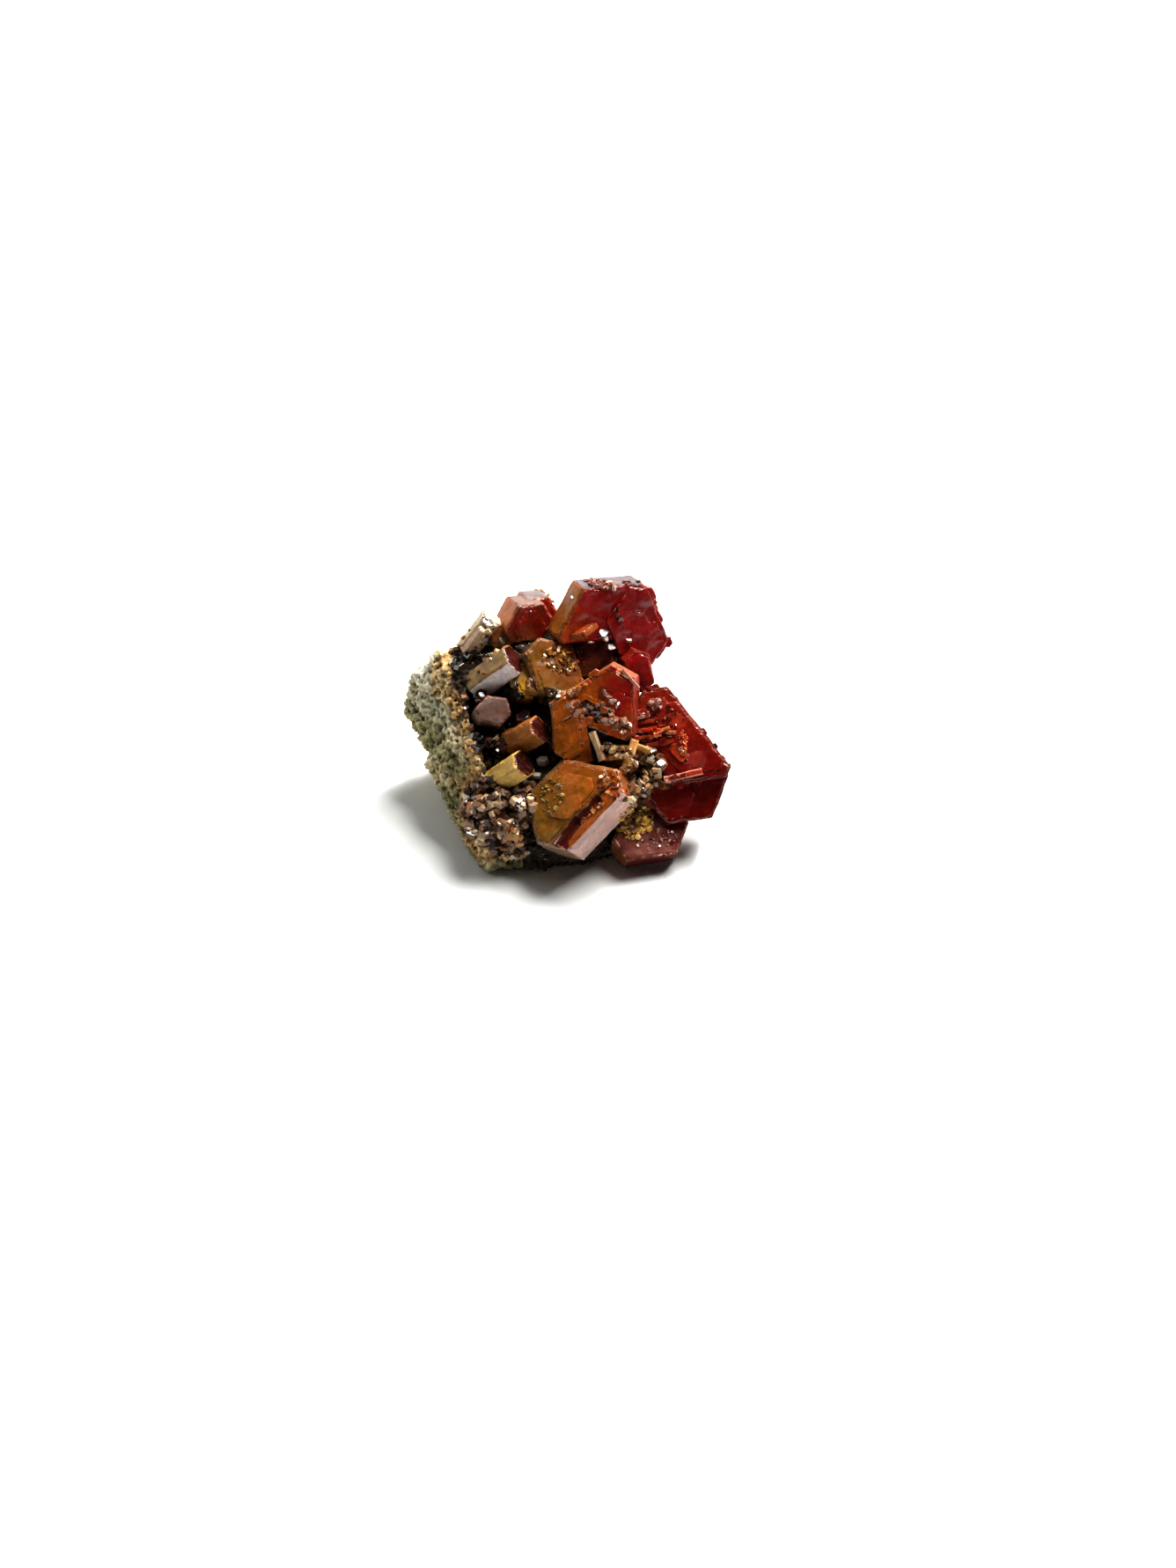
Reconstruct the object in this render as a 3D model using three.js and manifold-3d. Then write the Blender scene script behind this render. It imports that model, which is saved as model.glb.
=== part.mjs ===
// A hand specimen of vanadinite: six-sided crystals, tan to deep red, grown on a piece of pale rock.
// Millimetres, +Z up. The specimen rests on a flat broken patch under the rock.

import * as THREE from "three";
import { ConvexGeometry } from "three/addons/geometries/ConvexGeometry.js";
import { TessellateModifier } from "three/addons/modifiers/TessellateModifier.js";
import { ImprovedNoise } from "three/addons/math/ImprovedNoise.js";
import { mergeVertices } from "three/addons/utils/BufferGeometryUtils.js";
import Module from "manifold-3d";

const wasm = await Module();
wasm.setup();

// Places are measured as the specimen is seen from its best side: to the right, up across the line of
// sight, and toward the eye, all from its middle.
const VIEW_ELEVATION = THREE.MathUtils.degToRad(42);
const VIEW_DISTANCE = 200;
const MIDDLE_HEIGHT = 10.5;

// The crystals
const GAP = 0.3; // between a group of crystals and what it grew against
const SIXTH_TURN = Math.PI / 3;

// The rock
const ROCK_EDGE = 1.9; // longest triangle edge on its surface
const LUMP_SIZE = 4.2;
const LUMP_DEPTH = 0.8;
const PIT_SIZE = 1.7;
const PIT_DEPTH = 0.45;
const BASE_DEPTH = 1.2; // of rock broken off flat below the base
const FLOOR_CUT = 80; // wider than the specimen

const MIDDLE = new THREE.Vector3(0, 0, MIDDLE_HEIGHT);
const RIGHT = new THREE.Vector3(1, 0, 0);
const UP = new THREE.Vector3(0, Math.sin(VIEW_ELEVATION), Math.cos(VIEW_ELEVATION));
const TOWARD = new THREE.Vector3(0, -Math.cos(VIEW_ELEVATION), Math.sin(VIEW_ELEVATION));

// A direction given as it is seen, in the part's own axes.
function along(right, up, toward) {
  return new THREE.Vector3()
    .addScaledVector(RIGHT, right)
    .addScaledVector(UP, up)
    .addScaledVector(TOWARD, toward);
}

// A place given as it is seen. What is nearer to the eye is drawn in to the line of sight.
function at(right, up, toward) {
  const drawnIn = 1 - toward / VIEW_DISTANCE;
  return along(right * drawnIn, up * drawnIn, toward).add(MIDDLE);
}

// Places and directions on the far side are given in the part's own axes.
const point = (x, y, z) => new THREE.Vector3(x, y, z);

// Repeatable random numbers from 0 to 1.
function seeded(seed) {
  let state = seed;
  return () => {
    state = (state + 0x6d2b79f5) | 0;
    let mixed = Math.imul(state ^ (state >>> 15), 1 | state);
    mixed = (mixed + Math.imul(mixed ^ (mixed >>> 7), 61 | mixed)) ^ mixed;
    return ((mixed ^ (mixed >>> 14)) >>> 0) / 4294967296;
  };
}

// A closed geometry as a solid that can be joined and cut.
function solidOf(geometry) {
  const bare = geometry.index ? geometry.toNonIndexed() : geometry.clone();
  bare.deleteAttribute("normal");
  bare.deleteAttribute("uv");
  const merged = mergeVertices(bare, 1e-4);
  return new wasm.Manifold(
    new wasm.Mesh({
      numProp: 3,
      vertProperties: merged.attributes.position.array,
      triVerts: new Uint32Array(merged.index.array),
    }),
  );
}

function geometryOf(solid) {
  const { vertProperties, triVerts } = solid.getMesh();
  const geometry = new THREE.BufferGeometry();
  geometry.setAttribute("position", new THREE.BufferAttribute(new Float32Array(vertProperties), 3));
  geometry.setIndex(new THREE.BufferAttribute(new Uint32Array(triVerts), 1));
  const faceted = geometry.toNonIndexed();
  faceted.computeVertexNormals();
  return faceted;
}

function joined(solids) {
  return solids.reduce((whole, solid) => whole.add(solid));
}

// The largest of the bodies that a cut left.
function mainBody(solid) {
  return solid.decompose().reduce((best, body) => (body.volume() > best.volume() ? body : best));
}

// Axes on a surface that looks along axis: across is as near to the right as it can be.
function surfaceAxes(axis) {
  const out = axis.clone().normalize();
  const across = RIGHT.clone().addScaledVector(out, -out.x).normalize();
  return { across, upward: out.clone().cross(across), out };
}

// The outline of a crystal's end: six sides at 120 degrees to each other, each at its own distance.
function hexagon(sides, spin) {
  const corners = sides.map((distance, side) => {
    const next = sides[(side + 1) % sides.length];
    const run = (next - distance * Math.cos(SIXTH_TURN)) / Math.sin(SIXTH_TURN);
    const turn = spin + side * SIXTH_TURN;
    return new THREE.Vector2(
      distance * Math.cos(turn) - run * Math.sin(turn),
      distance * Math.sin(turn) + run * Math.cos(turn),
    );
  });
  return new THREE.Shape(corners);
}

// One crystal: a six-sided prism whose outer end is centred on face and looks along axis.
// sides holds the distances of its six sides, anticlockwise from the one at spin degrees off the right.
// bevel is the width of the narrow faces around its ends.
function crystal({ face, axis, sides, length, spin = 0, bevel = 0 }, grow = 0) {
  const distances = typeof sides === "number" ? Array(6).fill(sides) : sides;
  const outline = hexagon(
    distances.map((distance) => distance + grow),
    THREE.MathUtils.degToRad(spin),
  );
  const prism = new THREE.ExtrudeGeometry(outline, {
    depth: length + 2 * grow - 2 * bevel,
    bevelEnabled: bevel > 0,
    bevelSegments: 1,
    bevelThickness: bevel,
    bevelSize: bevel,
    bevelOffset: -bevel,
  });
  prism.translate(0, 0, bevel - length - grow);
  const { across, upward, out } = surfaceAxes(axis);
  const place = new THREE.Matrix4().makeBasis(across, upward, out).setPosition(face);
  return solidOf(prism.applyMatrix4(place));
}

// Small crystals scattered over a patch that looks along axis, within reach to the right and up.
// Each stands out of the patch by its own rise, and goes in as far as root.
function scattered({ middle, axis, reach, rise, size, root, lean, count, seed }) {
  const random = seeded(seed);
  const between = ([low, high]) => low + (high - low) * random();
  const aside = () => lean * (2 * random() - 1);
  const { across, upward, out } = surfaceAxes(axis);
  return Array.from({ length: count }, () => {
    const turn = 2 * Math.PI * random();
    const distance = Math.sqrt(random());
    const height = between(rise);
    const face = middle
      .clone()
      .addScaledVector(across, reach[0] * distance * Math.cos(turn))
      .addScaledVector(upward, reach[1] * distance * Math.sin(turn))
      .addScaledVector(out, height);
    const tilted = out.clone().addScaledVector(across, aside()).addScaledVector(upward, aside());
    return { face, axis: tilted, sides: between(size), length: height + root, spin: 60 * random() };
  });
}

// A plain block with the given corners. Growing it puts a small cube at each of them.
function block(corners, grow = 0) {
  const steps = grow > 0 ? [-grow, grow] : [0];
  const spread = corners.flatMap((corner) =>
    steps.flatMap((x) => steps.flatMap((y) => steps.map((z) => corner.clone().add(point(x, y, z))))),
  );
  return solidOf(new ConvexGeometry(spread));
}

// A crust on the rock: thick as given, its top through the places given.
function crust(top, thickness) {
  return top.flatMap(([right, up, toward]) => [
    at(right, up, toward),
    at(right, up, toward - thickness),
  ]);
}

// Crystals that grew into each other are one group, and make one solid. An earlier group keeps its whole
// shape, and a later one is cut where it meets it.
const AMBER_AXIS = along(-0.35, 0.28, 0.89);
const RED_PLATE_AXIS = along(-0.06, 0.04, 0.99);

const GROUPS = {
  // The plate that stands at the top, a second one grown on its right, two small ones and a blade.
  upper_red_crystals: {
    colour: 0x7a1410,
    crystals: [
      {
        face: at(3.0, 10.3, 1.2), axis: along(0.31, -0.28, 0.91),
        sides: [5.7, 3.7, 3.8, 4.8, 2.2, 6.3], spin: 30, length: 3.6, bevel: 0.35,
      },
      {
        face: at(6.8, 9.5, 1.5), axis: along(0.38, -0.2, 0.9),
        sides: [2.5, 4.0, 3.1, 2.7, 3.8, 3.7], spin: 22, length: 3.4, bevel: 0.25,
      },
      {
        face: at(6.9, 5.4, 0.9), axis: along(0.25, -0.15, 0.95),
        sides: [1.4, 1.7, 1.7, 1.4, 2.2, 2.2], spin: 10, length: 2.6, bevel: 0.15,
      },
      {
        face: at(1.9, 6.1, 0.4), axis: along(0.2, -0.1, 0.97),
        sides: [2.6, 2.6, 1.9, 1.3, 1.6, 2.1], length: 2.4, bevel: 0.15,
      },
      {
        face: at(1.3, 9.4, 2.0), axis: along(-0.48, 0.8, 0.36),
        sides: [1.75, 1.25, 1.25, 1.75, 1.25, 1.25], length: 0.7,
      },
    ],
  },
  // Two blocky crystals, one behind the other, at the top left.
  upper_orange_crystals: {
    colour: 0x8a3a18,
    crystals: [
      {
        face: at(-4.0, 10.2, -0.6), axis: along(0.36, -0.34, 0.87),
        sides: [2.3, 1.7, 1.8, 2.6, 2.1, 2.5], spin: 30, length: 3.6, bevel: 0.2,
      },
      {
        face: at(-3.2, 11.4, -2.2), axis: along(0.3, -0.3, 0.9),
        sides: [1.7, 1.2, 1.5, 1.7, 1.8, 2.3], spin: 30, length: 3.0, bevel: 0.15,
      },
    ],
  },
  olive_crystal: {
    colour: 0x8a6a24,
    crystals: [
      {
        face: at(-1.4, 6.1, 1.8), axis: along(0.28, 0.22, 0.93),
        sides: [2.4, 2.2, 2.9, 2.7, 3.2, 3.4], spin: 20, length: 3.8, bevel: 0.25,
      },
    ],
  },
  // The broad plate in the middle.
  centre_orange_crystal: {
    colour: 0x9a4a14,
    crystals: [
      {
        face: at(2.1, 0.9, 4.6), axis: along(-0.16, -0.14, 0.97),
        sides: [4.3, 5.0, 3.1, 4.0, 4.9, 4.0], spin: 2, length: 4.2, bevel: 0.3,
      },
    ],
  },
  // The large plate on the right, its lower part a step behind, and the plate that lies below it.
  right_red_crystals: {
    colour: 0x6a0c0a,
    crystals: [
      {
        face: at(11.4, -1.2, 3.0), axis: RED_PLATE_AXIS,
        sides: [1.7, 5.0, 5.5, 4.0, 4.7, 5.4], spin: 38, length: 3.8, bevel: 0.35,
      },
      {
        face: at(11.4, -7.3, 2.0), axis: RED_PLATE_AXIS,
        sides: [4.7, 3.0, 3.3, 3.1, 2.5, 3.3], spin: 38, length: 3.2, bevel: 0.3,
      },
      {
        face: at(7.5, -10.8, 1.7), axis: along(0.1, 0.35, 0.93),
        sides: [4.0, 2.9, 2.8, 3.4, 2.7, 3.7], spin: 40, length: 2.5, bevel: 0.25,
      },
    ],
  },
  // The plate at the front. Its face has a raised part and a raised strip with a groove between them.
  front_amber_crystal: {
    colour: 0x96621e,
    crystals: [
      {
        face: at(0.4, -7.9, 5.2), axis: AMBER_AXIS,
        sides: [5.0, 4.2, 4.4, 4.8, 4.7, 3.0], spin: 12, length: 4.4, bevel: 0.3,
      },
      {
        face: at(-0.7, -7.9, 5.2), axis: AMBER_AXIS,
        sides: [4.9, 4.3, 3.3, 3.5, 4.3, 2.0], spin: 12, length: 1.5, bevel: 0.25,
      },
      {
        face: at(2.1, -9.6, 6.7), axis: AMBER_AXIS,
        sides: [2.9, 3.1, 0.8, 2.8, 3.0, 0.4], spin: 12, length: 1.5,
      },
    ],
  },
  // A column that leans against the rim of the rock.
  rim_crystal: {
    colour: 0xa89878,
    crystals: [
      {
        face: at(-7.6, 10.7, 0.2), axis: along(0.56, 0.66, 0.5),
        sides: [1.05, 0.9, 1.05, 1.05, 0.9, 1.05], spin: 10, length: 6.2, bevel: 0.12,
      },
    ],
  },
  // Columns that stand in the hollow behind the rim, on a crust of small ones.
  brown_crystals: {
    colour: 0x3a1c14,
    crust: crust(
      [
        [-10.4, 4.6, -1.4],
        [-6.8, 7.6, -2.2],
        [-2.0, 4.4, -0.8],
        [-1.4, -1.0, 1.0],
        [-2.4, -5.4, 2.2],
        [-8.8, -5.2, 1.6],
        [-10.2, -0.6, 0.0],
      ],
      1.6,
    ),
    crystals: [
      {
        face: at(-5.4, 6.5, 1.8), axis: along(0.62, 0.45, 0.64),
        sides: 1.6, spin: 36, length: 5.4, bevel: 0.2,
      },
      {
        face: at(-7.5, 1.4, 3.0), axis: along(0.15, 0.35, 0.92),
        sides: [1.6, 1.5, 1.6, 1.9, 1.5, 1.5], spin: 20, length: 3.8, bevel: 0.2,
      },
      {
        face: at(-2.9, -0.5, 3.4), axis: along(0.75, 0.35, 0.56),
        sides: [1.35, 1.2, 1.35, 1.35, 1.2, 1.35], spin: 20, length: 5.2, bevel: 0.15,
      },
      {
        face: at(-4.6, -3.9, 4.0), axis: along(0.7, 0.45, 0.55),
        sides: 1.34, spin: 20, length: 4.6, bevel: 0.15,
      },
      {
        face: at(-3.2, 4.1, 2.4), axis: along(0.5, 0.3, 0.8),
        sides: 0.9, spin: 10, length: 4.4, bevel: 0.1,
      },
      ...scattered({
        middle: at(-6.6, 1.0, 0.1), axis: along(0.1, 0.3, 0.95), reach: [3.1, 5.4], rise: [0.5, 1.7],
        size: [0.4, 0.85], root: 0.7, lean: 0.7, count: 18, seed: 11,
      }),
    ],
  },
  // A mound of small columns below the hollow.
  lower_left_crystals: {
    colour: 0x6a4a30,
    crust: crust(
      [
        [-10.2, -5.6, 1.6],
        [-6.4, -5.4, 2.6],
        [-4.4, -8.2, 3.0],
        [-4.4, -12.0, 2.4],
        [-8.0, -12.6, 1.6],
        [-10.4, -10.0, 1.2],
      ],
      2.2,
    ),
    crystals: [
      ...scattered({
        middle: at(-7.4, -8.8, 2.3), axis: along(-0.1, 0.1, 0.98), reach: [2.8, 3.4], rise: [0.5, 1.6],
        size: [0.4, 0.9], root: 0.9, lean: 0.8, count: 22, seed: 5,
      }),
      ...scattered({
        middle: at(-4.6, -8.6, 2.5), axis: along(0.2, 0.1, 0.97), reach: [0.8, 2.8], rise: [0.4, 1.2],
        size: [0.4, 0.8], root: 0.9, lean: 0.6, count: 8, seed: 8,
      }),
    ],
  },
  // Small crystals and plates in the angle between the large plates.
  centre_small_crystals: {
    colour: 0x8a5a34,
    crust: crust(
      [
        [3.4, -2.2, 2.4],
        [7.8, -2.0, 2.4],
        [9.6, -5.2, 2.0],
        [8.6, -8.6, 1.4],
        [6.0, -8.2, 1.6],
        [3.6, -4.6, 2.4],
      ],
      1.8,
    ),
    crystals: [
      {
        face: at(2.6, -2.1, 4.9), axis: along(-0.3, 0.9, 0.3),
        sides: [0.5, 0.7, 0.7, 0.5, 0.7, 0.7], spin: 20, length: 3.4,
      },
      {
        face: at(4.9, -2.4, 4.4), axis: along(0.2, 0.35, 0.9),
        sides: [1.5, 0.8, 0.8, 1.5, 0.8, 0.8], spin: 8, length: 2.8,
      },
      {
        face: at(6.3, -1.9, 4.4), axis: along(0.5, 0.8, 0.35),
        sides: 0.5, spin: 20, length: 3.2,
      },
      ...scattered({
        middle: at(7.3, -5.0, 2.1), axis: along(0.1, 0.1, 0.98), reach: [2.0, 3.0], rise: [0.4, 1.7],
        size: [0.35, 0.8], root: 0.8, lean: 0.8, count: 20, seed: 21,
      }),
    ],
  },
  // Crystals on the far side
  back_red_crystal: {
    colour: 0x6a1410,
    crystals: [
      {
        face: point(4.5, 12.0, 12.6), axis: point(0.15, 0.9, 0.4),
        sides: [3.2, 2.8, 3.0, 3.4, 2.9, 3.1], spin: 14, length: 4.6, bevel: 0.25,
      },
      {
        face: point(1.2, 12.2, 10.4), axis: point(-0.1, 0.95, 0.15),
        sides: 2.0, spin: 40, length: 4.6, bevel: 0.2,
      },
    ],
  },
  back_brown_crystal: {
    colour: 0x4a2418,
    crystals: [
      {
        face: point(-5.2, 11.6, 8.6), axis: point(-0.25, 0.92, 0.3),
        sides: [2.4, 2.6, 2.2, 2.5, 2.7, 2.3], spin: 5, length: 4.4, bevel: 0.2,
      },
    ],
  },
  side_red_crystal: {
    colour: 0x70140e,
    crystals: [
      {
        face: point(10.0, 7.0, 6.4), axis: point(0.65, 0.7, 0.25),
        sides: [2.3, 2.1, 2.5, 2.2, 2.4, 2.3], spin: 22, length: 5.6, bevel: 0.2,
      },
    ],
  },
};

const ROCK_CORNERS = [
  // The rim and the outline on the left, as seen
  at(-13.1, 7.0, -1.5),
  at(-11.2, 7.2, -2.5),
  at(-15.6, 4.4, -4.0),
  at(-16.0, 1.5, -4.0),
  at(-14.9, -1.4, -3.5),
  at(-13.2, -6.0, -1.0),
  at(-11.9, -8.2, 0.0),
  at(-11.2, -10.8, 0.5),
  at(-9.9, -12.7, 1.0),
  at(-7.7, -13.9, 1.3),
  at(-4.6, -14.5, 1.0),
  at(-12.5, 5.4, 0.5),
  at(-11.2, 1.9, 1.5),
  at(-9.7, -3.3, 2.7),
  at(-9.0, -6.0, 3.3),
  at(-7.7, -8.6, 3.3),
  at(-4.2, -12.5, 2.5),
  at(-0.7, -13.2, 1.0),
  // Under the crystals
  at(2.4, 0.9, 1.4),
  at(3.0, 9.0, -2.4),
  at(-4.0, 9.6, -3.6),
  at(-7.2, 8.6, -3.2),
  at(8.5, -1.0, -1.0),
  at(6.5, -9.5, -0.6),
  // The back and the base
  point(-11, 8.5, 5),
  point(-3, 10.5, 7),
  point(5, 9, 5),
  point(9, 3, 4),
  point(6, 6, -BASE_DEPTH),
  point(-8, 8, -BASE_DEPTH),
  point(-11.5, 2, -BASE_DEPTH),
  point(-8, -9, -BASE_DEPTH),
  point(5, -8, -BASE_DEPTH),
];

// The hollow behind the rim: its mouth, then its floor
const HOLLOW_CORNERS = [
  at(-10.9, 5.2, 5.0),
  at(-7.0, 8.5, 5.0),
  at(-1.0, 6.0, 5.0),
  at(-0.4, 0.0, 5.0),
  at(-1.6, -6.0, 5.0),
  at(-8.8, -5.6, 5.0),
  at(-10.4, -1.0, 5.0),
  at(-10.0, 4.2, -1.8),
  at(-6.6, 7.0, -2.6),
  at(-2.2, 4.0, -1.2),
  at(-1.6, -0.6, 0.6),
  at(-2.6, -5.0, 1.8),
  at(-8.4, -4.8, 1.2),
  at(-9.8, -0.6, -0.4),
];

// A broken lump: the hull of its corners, with lumps and pits in its surface.
function roughRock(corners) {
  const hull = new TessellateModifier(ROCK_EDGE, 12).modify(new ConvexGeometry(corners));
  hull.deleteAttribute("normal");
  const lump = mergeVertices(hull, 1e-4);
  lump.computeVertexNormals();
  const noise = new ImprovedNoise();
  const places = lump.attributes.position;
  const place = new THREE.Vector3();
  const normal = new THREE.Vector3();
  for (let i = 0; i < places.count; i += 1) {
    place.fromBufferAttribute(places, i);
    normal.fromBufferAttribute(lump.attributes.normal, i);
    const rise = noise.noise(place.x / LUMP_SIZE, place.y / LUMP_SIZE, place.z / LUMP_SIZE);
    const pit = noise.noise(place.x / PIT_SIZE, place.y / PIT_SIZE, place.z / PIT_SIZE);
    place.addScaledVector(normal, LUMP_DEPTH * rise - PIT_DEPTH * Math.abs(pit));
    places.setXYZ(i, place.x, place.y, place.z);
  }
  return solidOf(lump);
}

const floorCut = solidOf(
  new THREE.BoxGeometry(FLOOR_CUT, FLOOR_CUT, FLOOR_CUT).translate(0, 0, -FLOOR_CUT / 2),
);

const specimen = new THREE.Group();

function addPiece(name, solid, colour, roughness) {
  const material = new THREE.MeshStandardMaterial({ color: colour, roughness });
  const mesh = new THREE.Mesh(geometryOf(mainBody(solid)), material);
  mesh.name = name;
  specimen.add(mesh);
}

// All of a group, its crust with it, grown on every side where that is asked.
function groupSolid({ crystals, crust: corners }, grow) {
  const solids = crystals.map((one) => crystal(one, grow));
  if (corners) solids.push(block(corners, grow));
  return joined(solids);
}

let room = floorCut;
for (const [name, group] of Object.entries(GROUPS)) {
  addPiece(name, groupSolid(group, 0).subtract(room), group.colour, 0.25);
  room = room.add(groupSolid(group, GAP));
}
addPiece("matrix", roughRock(ROCK_CORNERS).subtract(block(HOLLOW_CORNERS)).subtract(room), 0xa8a890, 0.95);

// The origin is under the middle of the specimen, on the surface that it rests on.
const box = new THREE.Box3().setFromObject(specimen);
const centre = box.getCenter(new THREE.Vector3());
specimen.position.set(-centre.x, -centre.y, -box.min.z);

export default specimen;
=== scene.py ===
"""Looks of a vanadinite specimen: glossy six-sided crystals, tan to deep red, on a lump of pale rock.

Sizes and places are in millimetres, and each finished mesh is in metres. Places are given as the specimen
is seen from its best side: to the right, up across the line of sight, and toward the eye.
"""

from __future__ import annotations

import logging
import math
from dataclasses import dataclass, field, replace
from enum import Enum
from typing import Any, Sequence

import bpy
import numpy as np
from mathutils import Matrix, Vector
from mathutils.bvhtree import BVHTree

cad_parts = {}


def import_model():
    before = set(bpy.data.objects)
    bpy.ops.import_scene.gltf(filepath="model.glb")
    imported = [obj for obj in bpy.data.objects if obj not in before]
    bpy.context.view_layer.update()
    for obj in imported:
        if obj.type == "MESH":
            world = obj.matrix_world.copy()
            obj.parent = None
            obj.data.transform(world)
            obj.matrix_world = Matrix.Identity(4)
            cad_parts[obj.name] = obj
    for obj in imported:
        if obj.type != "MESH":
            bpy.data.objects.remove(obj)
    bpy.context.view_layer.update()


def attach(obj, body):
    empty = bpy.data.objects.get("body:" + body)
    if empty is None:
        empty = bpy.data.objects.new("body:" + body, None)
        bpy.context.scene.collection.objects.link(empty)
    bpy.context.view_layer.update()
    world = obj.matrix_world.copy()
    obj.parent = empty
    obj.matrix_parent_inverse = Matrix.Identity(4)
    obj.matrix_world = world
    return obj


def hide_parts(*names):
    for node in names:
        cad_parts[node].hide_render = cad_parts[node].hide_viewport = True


LOG = logging.getLogger("vanadinite")

MM = 0.001  # metres in a millimetre
BODY = "root"

# The line of sight, and the middle of the specimen in the part's axes
VIEW_ELEVATION = math.radians(42.0)
VIEW_DISTANCE = 200.0
MIDDLE = Vector((0.1, -0.194, 10.5))
RIGHT = Vector((1.0, 0.0, 0.0))
UP = Vector((0.0, math.sin(VIEW_ELEVATION), math.cos(VIEW_ELEVATION)))
TOWARD = Vector((0.0, -math.cos(VIEW_ELEVATION), math.sin(VIEW_ELEVATION)))
EYE = MIDDLE + TOWARD * VIEW_DISTANCE
PANEL = Vector((190.0, 190.0, 460.0))  # where the broad lamp hangs
SPARK = Vector((210.0, 270.0, 440.0))  # a small, hard lamp
FILL = Vector((-400.0, 170.0, 150.0))  # a weak lamp on the left
GLINT = (SPARK.normalized() + TOWARD).normalized()  # facets that look there mirror the hard lamp to the eye

# The picture: its size in pixels, where the middle of the specimen stands in it, and its scale
PICTURE = (1336, 1781)
MIDDLE_PIXEL = (648.0, 822.0)
MM_PER_PIXEL = 0.0877
SENSOR = 36.0

SIXTH_TURN = math.pi / 3
SIXTH_DEGREES = 60.0
BLOCK = 140.0  # edge of the block that a crystal is cut from
ON_FACE = 0.004  # how close a cut face lies to the plane that it was cut by
ALIKE = 0.999  # least cosine between faces that look the same way
SHARP = math.radians(24.0)  # least angle of a sharp edge
CHIPPED_FROM = 0.6  # smallest distance of a crystal's sides at which its edges are chipped
CLEAN = 0.35  # how far small crystals stay off a crystal that is clean
FAR = 90.0  # well outside of the specimen
FAR_SEED = 100  # sets the random numbers of the far ends apart
STOPS = (0.0, 0.5, 1.0)  # where the three colours of a fade stand

# Noise patterns: how many finer patterns each one holds, and how strong those are
NOISE = (0.3, 0.7)  # the values that a pattern mostly takes
CLOUDY = {"Detail": 5.0, "Roughness": 0.6, "Distortion": 0.5}
MARKED = {"Detail": 4.0, "Roughness": 0.6}
WAVY = {"Detail": 2.0, "Roughness": 0.5}
STREAKY = {"Detail": 6.0, "Roughness": 0.7}
ETCHED = {"Detail": 3.0, "Roughness": 0.6}
BLOTCHY = {"Detail": 6.0, "Roughness": 0.65}
GRAINY = {"Detail": 5.0, "Roughness": 0.7}
STAINED = {"Detail": 5.0, "Roughness": 0.6}

# Low growth plates on the end of a crystal
PLATE_ROOT = 0.6  # how deep one goes into the crystal
PLATE_OFF = (0.2, 0.8)  # how far its middle is off, over the least distance of the end's sides
PLATE_WIDTH = (0.25, 0.8)  # half its width, over the end's
PLATE_UNEVEN = (0.7, 1.4)
PLATE_RISE = (0.04, 0.12)
PLATE_LENGTH = 0.8
LEAST_PLATE = 0.25

# Small crystals that break up an edge, over half their width
FRINGE_IN = (-0.1, 0.9)
FRINGE_OUT = (-1.1, 0.12)
FRINGE_LENGTH = 1.3
FRINGE_UNEVEN = (0.75, 1.25)
FRINGE_LEAN = 0.12  # over the axis
FRINGE_BEVEL = 0.06  # in millimetres

# Scattered small crystals
SCATTER_BEVEL = 0.12  # over half the width
SMALL_SIDES = (1.0, 0.7, 0.85, 1.0, 0.65, 0.9)  # distances of the sides, over half the width
SMALL_STRETCH = (0.65, 1.35)
SMALL_TONE = (0.7, 1.25)

Tint = tuple[float, float, float, float]


def along(right: float, up: float, toward: float) -> Vector:
    """Gives the part's own direction for one that is given as it is seen.

    Args:
        right: share to the right.
        up: share up across the line of sight.
        toward: share toward the eye.

    Returns:
        The direction, not of unit length.
    """
    return RIGHT * right + UP * up + TOWARD * toward


def at(right: float, up: float, toward: float) -> Vector:
    """Gives the place, in millimetres, of a point that is given as it is seen.

    Args:
        right: millimetres to the right of the middle.
        up: millimetres up from the middle.
        toward: millimetres toward the eye, which draws the point in to the line of sight.

    Returns:
        The place in the part's axes.
    """
    drawn_in = 1.0 - toward / VIEW_DISTANCE
    return MIDDLE + along(right * drawn_in, up * drawn_in, toward)


def point(x: float, y: float, z: float) -> Vector:
    """Gives a place on the far side, in the part's axes before its origin is set under its middle."""
    return Vector((x + MIDDLE.x, y + MIDDLE.y, z))


class Draw:
    """Repeatable random numbers, the same ones that scatter the small solids."""

    WORD = 0xFFFFFFFF
    STEP = 0x6D2B79F5

    def __init__(self, seed: int) -> None:
        """Starts the numbers from a seed."""
        self.state = seed

    def share(self) -> float:
        """Returns the next number, from 0 to 1."""
        self.state = (self.state + self.STEP) & self.WORD
        mixed = ((self.state ^ (self.state >> 15)) * (1 | self.state)) & self.WORD
        turned = ((mixed ^ (mixed >> 7)) * (61 | mixed)) & self.WORD
        mixed = ((mixed + turned) & self.WORD) ^ mixed
        return (mixed ^ (mixed >> 14)) / (self.WORD + 1)

    def between(self, low: float, high: float) -> float:
        """Returns a number from low to high."""
        return low + (high - low) * self.share()

    def aside(self, reach: float) -> float:
        """Returns a number from minus reach to reach."""
        return reach * (2.0 * self.share() - 1.0)

    def pick(self, options: Sequence[Any]) -> Any:
        """Returns one of some options."""
        return options[min(int(self.share() * len(options)), len(options) - 1)]


def only(*pieces: bpy.types.Object) -> None:
    """Selects these objects alone, the last one active."""
    bpy.ops.object.select_all(action="DESELECT")
    for piece in pieces:
        piece.select_set(True)
    bpy.context.view_layer.objects.active = pieces[-1]


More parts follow.
